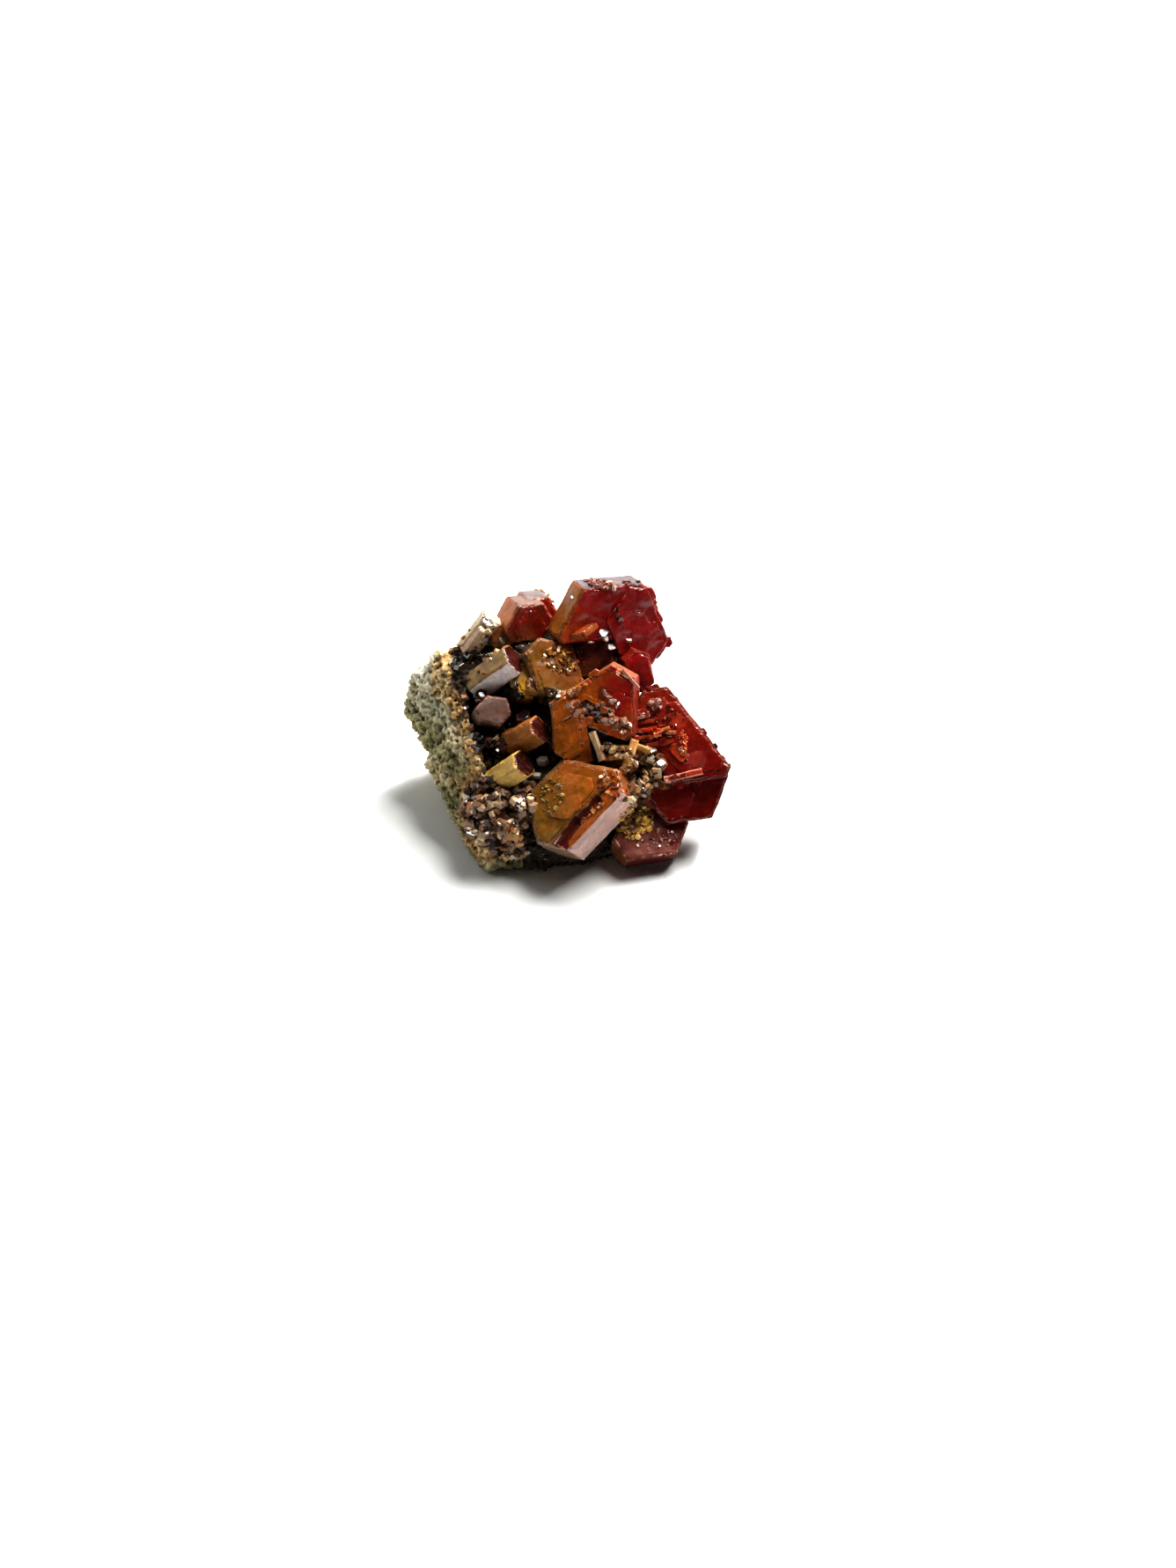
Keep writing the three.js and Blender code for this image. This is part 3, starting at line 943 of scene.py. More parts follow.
@dataclass
class CrystalGroup:
    """Crystals that grew into each other, in place of the solid of the same name."""

    name: str
    slot: str
    finish: CrystalFinish
    side_colour: str  # on the prism faces
    prisms: list[Prism]
    crust: tuple[list[Vector], float] | None = None  # the corners of a crust's top and its thickness
    hollows: Sequence[Prism] = ()  # shapes that are missing from the crystals
    terraces: int = 4
    terrace_from: float = 1.2  # smallest crystal that has growth plates
    tone: tuple[float, float] = (0.85, 1.15)
    side_gloss: float = 0.15
    cell: float = 0.16  # the coarsest grid that the fused crystals are meshed on
    grid_share: float = 0.9  # share of the grid that the crystals fill
    sway_size: float = 2.4
    sway: float = 0.3
    chip_size: float = 0.6
    chip: float = 0.4
    chip_middle: float = 0.75  # the part of the chips' pattern that leaves an edge whole
    seed: int = 1
    piece: bpy.types.Object | None = field(default=None, init=False)

    def build(self) -> None:
        """Cuts the crystals, fuses them into one closed mesh and makes their faces and edges uneven."""
        draw, far_draw = Draw(self.seed), Draw(self.seed + FAR_SEED)
        crystals = list(self.prisms)
        for prism in self.prisms:
            if min(prism.distances()) > self.terrace_from:
                crystals.extend(prism.terraces(self.terraces, draw))
                crystals.extend(prism.turned_over().terraces(self.terraces, far_draw))
        blocks = [crystal.cut() for crystal in crystals]
        if self.crust:
            top, thickness = self.crust
            blocks.append(hull_of([corner - TOWARD * down for corner in top for down in (0.0, thickness)]))
        self.piece = blocks[0]
        for block in blocks[1:]:
            combine(self.piece, block, "UNION", "MANIFOLD")
        for hollow in self.hollows:
            combine(self.piece, hollow.cut(), "DIFFERENCE", "MANIFOLD")
        self.colour_faces(crystals, draw)
        self.weather()

    def weather(self) -> None:
        """Meshes the crystals on an even grid, sways their faces and chips their edges."""
        sharp = self.piece.data.copy()
        span = max(self.piece.dimensions)
        depth = math.ceil(math.log2(span / (self.grid_share * self.cell)))
        apply_modifier(
            self.piece,
            "REMESH",
            mode="SHARP",
            octree_depth=depth,
            scale=self.grid_share,
            sharpness=1.0,
            use_remove_disconnected=False,
        )
        mesh = self.piece.data
        only(self.piece)
        bpy.ops.object.shade_smooth()
        bpy.ops.object.mode_set(mode="EDIT")
        bpy.ops.mesh.select_mode(type="EDGE")
        bpy.ops.mesh.select_all(action="DESELECT")
        bpy.ops.mesh.edges_select_sharp(sharpness=SHARP)
        bpy.ops.mesh.mark_sharp()
        bpy.ops.mesh.select_mode(type="VERT")
        bpy.ops.object.mode_set(mode="OBJECT")
        edges = self.piece.vertex_groups.new(name="edges")
        sharp_corners = np.zeros(len(mesh.vertices), dtype=bool)
        mesh.vertices.foreach_get("select", sharp_corners)
        worn = sharp_corners & self.on_edges()
        edges.add(np.flatnonzero(worn).tolist(), 1.0, "REPLACE")
        write_values(mesh, "edge", "POINT", worn.astype(float))
        swaying = {"direction": "RGB_TO_XYZ", "cloud_type": "COLOR"}
        displace(self.piece, "CLOUDS", self.sway_size, self.sway, **swaying)
        chips = {"vertex_group": "edges", "middle": self.chip_middle, "noise_depth": 2}
        displace(self.piece, "CLOUDS", self.chip_size, self.chip, **chips)
        self.carry_colours(sharp)

    def on_edges(self) -> np.ndarray:
        """Tells which vertices lie on the edges of the larger crystals, and not on a low growth step.

        Returns:
            A yes or no for each vertex.
        """
        places, _ = corners_of(self.piece.data)
        found = np.zeros(len(places), dtype=bool)
        for prism in self.prisms:
            if min(prism.distances()) > CHIPPED_FROM:
                planes = [(np.array(place), np.array(normal)) for place, normal, _ in prism.planes()]
                heights = np.array([(places - place) @ normal for place, normal in planes])
                meeting = (np.abs(heights) < self.cell).sum(axis=0) > 1
                found |= meeting & (heights < self.cell).all(axis=0)
        return found

    def carry_colours(self, sharp: bpy.types.Mesh) -> None:
        """Gives each face of the uneven mesh the marks of the nearest sharp-edged face.

        Args:
            sharp: the fused crystals before their faces and edges were made uneven.
        """
        mesh = self.piece.data
        places, _ = corners_of(sharp)
        tree = BVHTree.FromPolygons(places.tolist(), [tuple(face.vertices) for face in sharp.polygons])
        middles, _ = faces_of(mesh)
        nearest = [tree.find_nearest(Vector(middle))[2] for middle in middles]
        for name, field_name, width in (("tint", "color", 4), ("tone", "value", 1)):
            values = np.zeros(len(sharp.polygons) * width)
            sharp.attributes[name].data.foreach_get(field_name, values)
            carried = values.reshape(-1, width)[nearest]
            write_values(mesh, name, "FACE", carried if width > 1 else carried[:, 0])
        kinds = np.zeros(len(sharp.polygons), dtype=np.int32)
        sharp.polygons.foreach_get("material_index", kinds)
        mesh.materials.clear()
        mesh.polygons.foreach_set("material_index", kinds[nearest])
        bpy.data.meshes.remove(sharp)

    def colour_faces(self, crystals: Sequence[Prism], draw: Draw) -> None:
        """Marks each face with its crystal's tone, and with a colour where it isn't the finish's own.

        Args:
            crystals: the crystals that were fused.
            draw: the random numbers.
        """
        mesh = self.piece.data
        middles, normals = faces_of(mesh)
        tints = np.zeros((len(middles), 4))
        tones = np.ones(len(middles))
        kinds = np.ones(len(middles), dtype=np.int32)
        for crystal in (*crystals, *self.hollows):
            tone = draw.between(*self.tone)
            inward = -1.0 if crystal in self.hollows else 1.0
            for number, (place, normal, colour) in enumerate(crystal.planes()):
                off = np.abs((middles - np.array(place)) @ np.array(normal))
                mine = (off < ON_FACE) & (normals @ np.array(normal) * inward > ALIKE)
                tones[mine] = tone
                kinds[mine] = 0 if number == 0 and not crystal.matt else 1
                colour = self.side_colour if colour is None else colour
                if colour:
                    tints[mine] = linear(colour)
        write_values(mesh, "tint", "FACE", tints)
        write_values(mesh, "tone", "FACE", tones)
        mesh.polygons.foreach_set("material_index", kinds)

    def dress(self) -> None:
        """Gives the crystals their finish and sets them on the body."""
        settle(self.piece, f"{self.name}_grown")
        finishes = [self.finish, self.finish.dulled(self.side_gloss)]
        hand_over(self.piece, [finish.make() for finish in finishes], self.slot, self.name)


@dataclass
class Rock:
    """The lump of rock that the crystals grew on."""

    voxel: float = 0.135
    smoothing: int = 10  # rounds of smoothing that tell a pit from a knob
    pit_depth: float = 0.22
    turning: float = 0.3  # range of cosines over which its surface turns away from the eye
    breaks: Sequence[tuple[str, float, float, dict[str, Any]]] = (
        ("CLOUDS", 4.2, 1.5, {"noise_depth": 1}),
        ("CLOUDS", 1.6, 1.1, {"noise_depth": 2}),
        ("VORONOI", 0.9, 0.35, {"middle": 0.4}),
        ("CLOUDS", 0.7, 0.7, {"noise_depth": 4}),
        ("CLOUDS", 0.35, 0.5, {"noise_depth": 2}),
    )  # patterns of its broken surface: kind, size, depth and other values
    finish: RockFinish = RockFinish()
    piece: bpy.types.Object | None = field(default=None, init=False)

    def build(self) -> None:
        """Models the lump: a hull, a hollow behind its rim, a broken surface and a flat base."""
        self.piece = hull_of(ROCK_CORNERS)
        combine(self.piece, hull_of(HOLLOW_CORNERS), "DIFFERENCE", "EXACT")
        apply_modifier(self.piece, "REMESH", mode="VOXEL", voxel_size=self.voxel)
        for kind, size, depth, others in self.breaks:
            displace(self.piece, kind, size, depth, **others)
        only(self.piece)
        bpy.ops.object.mode_set(mode="EDIT")
        bpy.ops.mesh.select_all(action="SELECT")
        bpy.ops.mesh.bisect(plane_co=(0, 0, 0), plane_no=(0, 0, -1), use_fill=True, clear_outer=True)
        bpy.ops.object.mode_set(mode="OBJECT")
        self.mark_surface()
        only(self.piece)
        bpy.ops.object.shade_smooth()

    def mark_surface(self) -> None:
        """Marks how deep each place lies in a pit, and how far inside of the rim it lies."""
        mesh = self.piece.data
        places, normals = corners_of(mesh)
        ends = np.zeros(len(mesh.edges) * 2, dtype=np.int32)
        mesh.edges.foreach_get("vertices", ends)
        first, second = ends.reshape(-1, 2).T
        near = np.bincount(ends, minlength=len(places))[:, None]
        smooth = places
        for _ in range(self.smoothing):
            sums = np.zeros_like(places)
            np.add.at(sums, first, smooth[second])
            np.add.at(sums, second, smooth[first])
            smooth = sums / near
        depth = np.sum((smooth - places) * normals, axis=1)
        write_values(mesh, "pit", "POINT", np.clip(depth / self.pit_depth, 0.0, 1.0))
        away = (places - np.array(EYE)) @ -np.array(TOWARD)
        right, up = ((places - np.array(EYE)) @ np.array(way) / away * VIEW_DISTANCE for way in (RIGHT, UP))
        rim = np.interp(up, *np.array(sorted((u, r) for r, u in RIM_LINE)).T)
        seen = np.clip(normals @ np.array(TOWARD) / self.turning + 0.5, 0.0, 1.0)
        low = np.where(right < LOW_EDGE[0], up - LOW_EDGE[1], FAR)
        inside = np.minimum(right - rim, low)
        write_values(mesh, "inside", "POINT", seen * inside - (1.0 - seen) * FAR)

    def dress(self) -> None:
        """Gives the rock its finish and sets it on the body."""
        settle(self.piece, "rock_lump")
        hand_over(self.piece, [self.finish.make()], "matrix_rock", "matrix")


class Habit(Enum):
    """Shapes of small crystals: the length over half the width, and the bevel over half the width."""

    STUBBY = (1.6, 0.08)
    COLUMN = (4.5, 0.1)
    PLATE = (0.6, 0.06)

    def model(self) -> tuple[np.ndarray, list[tuple[int, ...]]]:
        """Models the crystal once, of unit half width, with its root at the origin.

        Returns:
            Its vertices and its faces.
        """
        length, bevel = self.value
        prism = Prism(Vector((0.0, 0.0, length)), Vector((0.0, 0.0, 1.0)), SMALL_SIDES, length, 0.0, bevel)
        sample = prism.cut()
        places, _ = corners_of(sample.data)
        faces = [tuple(polygon.vertices) for polygon in sample.data.polygons]
        bpy.data.objects.remove(sample)
        return places, faces


@dataclass(frozen=True)
class Patch:
    """A patch of small crystals, an ellipse as it is seen from one side."""

    middle: tuple[float, float]  # right and up
    reach: tuple[float, float]
    turn: float  # degrees
    count: int
    size: tuple[float, float]  # half the width of a crystal, least and most
    colours: tuple[str, ...]
    habit: Habit = Habit.STUBBY
    lean: float = 0.6
    sink: float = 0.35  # share of a crystal's length that is in the ground
    axis: Vector | None = None  # where its crystals point, if not out of the ground
    look: Vector | None = None  # where it is seen from, if not from the eye

    def ray(self, draw: Draw) -> tuple[Vector, Vector]:
        """Picks a ray through the patch.

        Args:
            draw: the random numbers.

        Returns:
            The ray's start and direction.
        """
        round_turn = 2.0 * math.pi * draw.share()
        distance = math.sqrt(draw.share())
        first = self.reach[0] * distance * math.cos(round_turn)
        second = self.reach[1] * distance * math.sin(round_turn)
        tilt = math.radians(self.turn)
        right = self.middle[0] + first * math.cos(tilt) - second * math.sin(tilt)
        up = self.middle[1] + first * math.sin(tilt) + second * math.cos(tilt)
        if self.look is None:
            return EYE, (at(right, up, 0.0) - EYE).normalized()
        out = self.look.normalized()
        across = Vector((0.0, 0.0, 1.0)).cross(out).normalized()
        upward = out.cross(across)
        return MIDDLE + out * FAR + across * right + upward * up, -out


@dataclass
class Druse:
    """Small crystals of one kind that cover patches of the larger ones and of the rock."""

    name: str
    slot: str
    patches: list[Patch]
    seed: int
    bare: Sequence[Prism] = ()  # crystals that stay clean
    piece: bpy.types.Object | None = field(default=None, init=False)

    def build(self, ground: BVHTree) -> None:
        """Sets the small crystals on the ground and joins them in one mesh.

        Args:
            ground: the surfaces that they stand on.
        """
        draw = Draw(self.seed)
        habits = {habit: habit.model() for habit in Habit}
        places, faces, tints = [], [], []
        total = 0
        for patch in self.patches:
            shape, outline = habits[patch.habit]
            for _ in range(patch.count):
                start, ahead = patch.ray(draw)
                spot, normal, _, _ = ground.ray_cast(start, ahead)
                leans = [draw.aside(patch.lean) for _ in range(3)]
                least, most = patch.size
                size = least * (most / least) ** draw.share()
                stretches = np.array([size * draw.between(*SMALL_STRETCH) for _ in range(3)])
                spin = Matrix.Rotation(draw.between(0.0, 2.0 * SIXTH_TURN), 3, "Z")
                colour = linear(draw.pick(patch.colours))
                shade = draw.between(*SMALL_TONE)
                if spot is None or any(prism.holds(spot, CLEAN) for prism in self.bare):
                    continue
                axis = ((patch.axis or normal) + Vector(leans)).normalized()
                turned = axis.to_track_quat("Z", "Y").to_matrix() @ spin
                length = patch.habit.value[0] * stretches[2]
                moved = (shape * stretches) @ np.array(turned).T
                places.append(moved + np.array(spot - axis * (length * patch.sink)))
                faces.extend(tuple(corner + total for corner in face) for face in outline)
                tints.append(np.tile([*(c * shade for c in colour[:3]), 1.0], (len(outline), 1)))
                total += len(shape)
        self.piece = piece_of(np.concatenate(places), faces)
        write_values(self.piece.data, "tint", "FACE", np.concatenate(tints))

    def dress(self) -> None:
        """Gives the crystals their finish and sets them on the body."""
        settle(self.piece, self.name)
        hand_over(self.piece, [DruseFinish(self.name.replace("_", " ")).make()], self.slot)


AMBER_AXIS = along(-0.35, 0.28, 0.89)
RED_PLATE_AXIS = along(-0.06, 0.04, 0.99)

# The grey-lilac top sides of the upper plates are painted reflections of the bright room
UPPER_PLATE = Prism(
    at(3.0, 10.3, 1.2), along(0.31, -0.28, 0.91), (5.7, 3.4, 3.1, 4.5, 2.2, 6.3), 3.6, 30.0, 0.2,
    side_colour=("", "#74686a", "#925618", "#884a14", "", ""),
)
UPPER_RIGHT_PLATE = Prism(
    at(6.8, 9.5, 0.0), along(0.32, -0.27, 0.91), (2.5, 4.0, 3.1, 2.7, 3.8, 3.7), 2.3, 22.0,
    side_colour=("", "#a89894", "", "", "", ""),
)
CENTRE_PLATE = Prism(
    at(2.1, 0.9, 4.6), along(-0.16, -0.14, 0.97), (4.3, 5.0, 3.1, 4.0, 4.9, 4.0), 4.2, 2.0, 0.2,
    side_colour=("#942c18", "#b87454", "#b8682c", "#985410", "#985410", "#944c14"),
)
RED_PLATE = Prism(at(11.4, -1.2, 3.0), RED_PLATE_AXIS, (1.7, 5.0, 5.5, 4.0, 4.7, 5.4), 3.8, 38.0, 0.2)
AMBER_PLATE = Prism(
    at(0.4, -7.9, 5.2), AMBER_AXIS, (5.0, 4.2, 4.4, 4.8, 4.7, 3.0), 4.4, 12.0, 0.2,
    # The last side's pale lilac is a painted reflection of the paper below
    side_colour=("#8c4c20", "#9c6428", "#7c6424", "#6c5420", "#7c6450", "#c8a49c"),
)

LOW_PLATE = Prism(
    at(7.5, -10.8, 1.7), along(0.1, 0.35, 0.93), (4.0, 2.9, 2.8, 3.4, 2.7, 3.7), 2.5, 40.0, 0.1,
    "#6e3628", ("#5c1c14", "#5c1c14", "#7c5c24", "#6c3c20", "#4c1812", "#4c1812"), True,
)

UPPER_RED = CrystalGroup(
    "upper_red_crystals",
    "red_vanadinite",
    CrystalFinish(
        "red_crystal", ("#c85414", "#a80e06", "#8c1414"), (at(-1.5, 8.5, 1.0), at(6.0, 10.5, 1.0)),
        veil_share=0.14, gloss=0.4,
    ),
    "#80180e",
    [
        UPPER_PLATE,
        UPPER_RIGHT_PLATE,
        *UPPER_RIGHT_PLATE.fringe((0, 5), 6, (0.45, 1.0), Draw(31)),
        *UPPER_PLATE.fringe((1,), 5, (0.2, 0.45), Draw(32)),
        Prism(at(6.9, 5.4, 0.9), along(0.25, -0.15, 0.95), (1.4, 1.7, 1.7, 1.4, 2.2, 2.2), 2.6, 10.0, 0.1),
        # A low plate under the big one, near-black red as painted shade in the gap below it
        Prism(
            at(1.9, 6.1, 0.4), along(0.2, -0.1, 0.97), (2.6, 2.6, 1.9, 1.3, 1.6, 2.1), 2.4, 0.0, 0.15,
            "#3a0806", "#3c0a07",
        ),
        Prism(
            at(1.3, 9.4, 2.0), along(-0.48, 0.8, 0.36), (1.75, 0.8, 0.8, 1.75, 0.8, 0.8), 0.7,
            end_colour="#944820", side_colour="#a05628",
        ),
    ],
    side_gloss=0.06,
    seed=3,
)
UPPER_ORANGE = CrystalGroup(
    "upper_orange_crystals",
    "orange_vanadinite",
    CrystalFinish(
        "orange_crystal", ("#984c12", "#8c180c", "#94200c"), (at(-5.0, 7.0, 0.0), at(-3.5, 11.0, 0.0)),
    ),
    "#b4703c",
    [
        # The grey-lilac colours of the top sides are painted reflections of the bright room
        Prism(
            at(-4.0, 10.2, -0.6), along(0.36, -0.34, 0.87), (2.3, 1.7, 1.8, 2.6, 2.1, 2.5), 3.6, 30.0, 0.15,
            side_colour=("", "#8c6c60", "#ac6430", "#9c5420", "", ""),
        ),
        Prism(
            at(-3.2, 11.4, -2.2), along(0.3, -0.3, 0.9), (1.7, 1.2, 1.5, 1.7, 1.8, 2.3), 3.0, 30.0, 0.15,
            side_colour=("", "#807470", "#94745c", "", "", ""),
        ),
        Prism(at(-6.6, 8.7, -1.2), along(0.3, -0.2, 0.9), 1.3, 3.2, 20.0, 0.1, "#8a5420", "#8a6238"),
    ],
    terraces=2,
    seed=4,
)
OLIVE = CrystalGroup(
    "olive_crystal",
    "amber_vanadinite",
    CrystalFinish(
        "olive_crystal", ("#74500c", "#804808", "#84440e"), (at(-4.0, 4.0, 1.0), at(1.0, 8.0, 1.0)),
        veil="#c08838", veil_share=0.16, gloss=0.3,
    ),
    "#7c5824",
    [
        Prism(
            at(-1.4, 6.1, 1.8), along(0.28, 0.22, 0.93), (2.4, 2.2, 2.9, 2.7, 3.2, 3.4), 3.8, 20.0, 0.15,
            matt=True,
        ),
        Prism(
            at(-4.3, 4.6, 1.9), along(0.1, 0.3, 0.93), (1.8, 1.5, 1.5, 1.5, 1.8, 1.6), 4.3, 24.0, 0.15,
            "#b4801c", "#b4802c", True,
        ),
    ],
    terraces=2,
    seed=5,
)
CENTRE_ORANGE = CrystalGroup(
    "centre_orange_crystal",
    "orange_vanadinite",
    CrystalFinish(
        "amber_to_red_crystal", ("#a45c08", "#d46c18", "#b41c0a"),
        (at(-1.5, -1.5, 4.0), at(5.5, 2.5, 4.0)),
    ),
    "#a0602c",
    [
        CENTRE_PLATE,
        CENTRE_PLATE.grow(-0.2, -1.4, 0.16, (1.3, 2.6, 1.6, 1.4, 2.0, 2.0)),
        CENTRE_PLATE.ridge((5.3, 5.4), (6.9, 3.5), 0.16, 0.2, "#c08074"),
        CENTRE_PLATE.ridge((1.9, -0.3), (3.8, -1.0), 0.14, 0.2, "#b08068"),
        *CENTRE_PLATE.fringe((1, 2), 6, (0.2, 0.5), Draw(33)),
    ],
    # Pits in the plate; their dark floors and near-black walls are partly painted shade
    hollows=[
        CENTRE_PLATE.grow(2.2, 1.2, 0.3, (2.2, 0.75, 1.3, 2.4, 0.8, 1.2), length=0.8, end_colour="#4a1c10"),
        CENTRE_PLATE.grow(
            4.0, -2.8, 0.5, (1.5, 3.3, 1.8, 4.0, 4.0, 4.0), length=1.5, spin=70.0,
            end_colour="#6c4424", side_colour="#2c120a",
        ),
    ],
    terraces=3,
    seed=6,
)
RIGHT_RED = CrystalGroup(
    "right_red_crystals",
    "red_vanadinite",
    CrystalFinish(
        "deep_red_crystal", ("#8c240c", "#8c1c0a", "#740a04"), (at(6.5, 2.5, 2.0), at(14.0, -5.0, 2.0)),
        veil_share=0.13, gloss=0.36,
    ),
    "#601810",
    [
        RED_PLATE,
        *RED_PLATE.fringe((0,), 5, (0.2, 0.45), Draw(34)),
        *RED_PLATE.fringe((1, 4), 4, (0.25, 0.5), Draw(35)),
        RED_PLATE.ridge((5.4, -0.2), (8.7, 0.25), 0.2, 0.22, "#a04428"),
        RED_PLATE.ridge((6.2, -0.9), (10.1, -0.75), 0.28, 0.34, "#94381c"),
        RED_PLATE.ridge((5.9, -1.75), (8.6, -1.2), 0.2, 0.42, "#a85028"),
        RED_PLATE.ridge((7.6, -2.3), (10.3, -1.7), 0.26, 0.38, "#8c3018"),
        RED_PLATE.ridge((9.4, -5.7), (13.2, -4.8), 0.35, 0.25, "#e09888"),
        RED_PLATE.grow(8.6, 1.9, 0.12, (1.0, 0.6, 0.9, 1.1, 0.6, 0.9), end_colour="#b04830"),
        RED_PLATE.grow(7.2, 0.9, 0.15, (0.7, 0.5, 0.8, 0.9, 0.5, 0.8), end_colour="#a43c24"),
        RED_PLATE.grow(10.6, 0.3, 0.1, (0.8, 0.7, 1.2, 0.8, 0.8, 1.1), end_colour="#a8341c"),
        RED_PLATE.grow(12.4, -3.6, 0.12, (1.0, 0.7, 1.3, 0.9, 0.8, 1.2), end_colour="#a03428"),
        RED_PLATE.grow(10.9, -2.9, 0.25, (0.5, 0.9, 1.1, 0.6, 1.0, 0.9), end_colour="#b4401a"),
        Prism(at(11.4, -7.3, 2.0), RED_PLATE_AXIS, (4.7, 3.0, 3.3, 3.1, 2.5, 3.3), 3.2, 38.0, 0.15),
        LOW_PLATE,
        # Its tan is brightened further as painted light where the crystals above shade it
        LOW_PLATE.grow(6.4, -9.9, 0.12, (1.3, 1.2, 1.2, 1.6, 1.3, 1.2), end_colour="#e0b060"),
        LOW_PLATE.grow(8.6, -11.3, 0.1, (1.4, 0.9, 1.2, 1.2, 0.9, 1.2), end_colour="#8c4438"),
        LOW_PLATE.grow(10.0, -11.2, 0.16, (2.1, 1.6, 0.9, 0.8, 1.6, 1.1), end_colour="#5c160e"),
        LOW_PLATE.ridge((5.5, -13.3), (10.4, -13.0), 0.1, 0.06, "#d0a49c"),
        LOW_PLATE.ridge((4.4, -11.6), (5.5, -13.3), 0.1, 0.06, "#c89890"),
    ],
    terraces=3,
    side_gloss=0.1,
    seed=7,
)
FRONT_AMBER = CrystalGroup(
    "front_amber_crystal",
    "amber_vanadinite",
    CrystalFinish(
        "amber_crystal", ("#6a4e10", "#945a12", "#ac5814"), (at(-4.0, -9.0, 4.0), at(3.5, -7.0, 4.0)),
        veil="#c88c44", gloss=0.3,
    ),
    # Pale lilac sides: a painted reflection of the paper below
    "#c8a49c",
    [
        AMBER_PLATE,
        Prism(
            at(-0.7, -7.9, 5.2), AMBER_AXIS, (4.9, 4.3, 3.3, 3.5, 4.3, 2.0), 1.5, 12.0, 0.2,
            side_colour="#8c5c24",
        ),
        Prism(at(2.1, -9.6, 6.7), AMBER_AXIS, (2.9, 3.1, 0.8, 2.8, 3.0, 0.4), 1.5, 12.0, 0.0, "#9c5014"),
        AMBER_PLATE.grow(-1.3, -11.3, 0.2, (0.5, 0.6, 0.5, 0.5, 0.8, 0.4), end_colour="#c09080"),
        Prism(
            at(5.8, -6.3, 3.6), along(0.3, 0.3, 0.9), (0.7, 0.6, 0.7, 0.7, 0.9, 0.7), 2.4, 20.0, 0.1,
            "#7c2410", "#70200f",
        ),
    ],
    side_gloss=0.5,
    # Grooves in the plate; their dark red faces are partly painted shade
    hollows=[
        AMBER_PLATE.ridge((3.0, -7.4), (-0.2, -11.0), 0.44, 0.55, "#6c200e"),
        AMBER_PLATE.ridge((1.0, -9.6), (-1.0, -12.2), 0.6, 0.6, "#6c200e"),
        AMBER_PLATE.ridge((4.0, -8.7), (0.8, -11.8), 0.18, 1.15, "#481408"),
    ],
    terraces=3,
    seed=8,
)
RIM = CrystalGroup(
    "rim_crystal",
    "tan_vanadinite",
    CrystalFinish(
        "tan_crystal", ("#c8ac80", "#dcc4a0", "#ecdcc4"), (at(-11.0, 6.0, -2.0), at(-7.6, 10.7, 0.2)),
    ),
    "",
    [
        Prism(
            at(-7.6, 10.7, 0.2), along(0.56, 0.66, 0.5), (1.05, 0.9, 1.05, 1.05, 0.9, 1.05), 6.2, 10.0,
            0.12,
        ),
        Prism(
            at(-8.3, 9.4, 0.9), along(0.56, 0.66, 0.5), (0.7, 0.5, 0.7, 0.7, 0.5, 0.7), 3.4, 30.0, 0.1,
            "", "#b4987c",
        ),
    ],
    seed=9,
)
# Brown crystals in the hollow; their near-black finish and dark ends are partly painted shade
BROWN = CrystalGroup(
    "brown_crystals",
    "brown_vanadinite",
    CrystalFinish(
        "brown_crystal", ("#0e0604", "#1a0a06", "#240e09"), (at(-10.0, 0.0, 0.0), at(-2.0, 2.0, 2.0)),
        gloss=0.3,
    ),
    "#4a2c1c",
    [
        Prism(
            at(-5.4, 6.5, 1.8), along(0.75, 0.5, 0.43), 1.55, 5.4, 27.0, 0.12, "#3c100a",
            # The two pale lilac sides, last in the list, are painted reflections of the bright paper
            ("#8c7450", "#8c7450", "#94784c", "#94784c", "#ece0dc", "#b0a09c"),
        ),
        Prism(
            at(-7.5, 1.4, 3.0), along(0.15, 0.22, 0.95), (1.6, 1.5, 1.6, 1.9, 1.5, 1.5), 3.8, 20.0, 0.12,
            "#5c463c", "#3a241a", True,
        ),
        Prism(
            at(-2.9, -0.5, 3.4), along(0.75, 0.35, 0.56), (1.35, 1.2, 1.35, 1.35, 1.2, 1.35),
            4.2, 20.0, 0.12, "#3a0e08", "#945c20",
        ),
        Prism(at(-4.6, -3.9, 4.0), along(0.7, 0.45, 0.55), 1.34, 4.0, 20.0, 0.12, "#2c0c08", "#c4a254"),
        Prism(at(-3.2, 4.1, 2.4), along(0.5, 0.3, 0.8), 0.9, 4.4, 10.0, 0.1, "#2c0c08", "#a07830"),
        *scattered(
            at(-6.6, 1.0, 0.1), along(0.1, 0.3, 0.95), (3.1, 5.4), (0.5, 1.7), (0.4, 0.85),
            root=0.7, lean=0.7, count=18, seed=11,
        ),
    ],
    crust=(
        [
            at(-10.4, 4.6, -1.4),
            at(-6.8, 7.6, -2.2),
            at(-2.0, 4.4, -0.8),
            at(-1.4, -1.0, 1.0),
            at(-2.4, -5.4, 2.2),
            at(-8.8, -5.2, 1.6),
            at(-10.2, -0.6, 0.0),
        ],
        1.6,
    ),
    terrace_from=3.0,
    tone=(0.7, 1.3),
    seed=10,
)
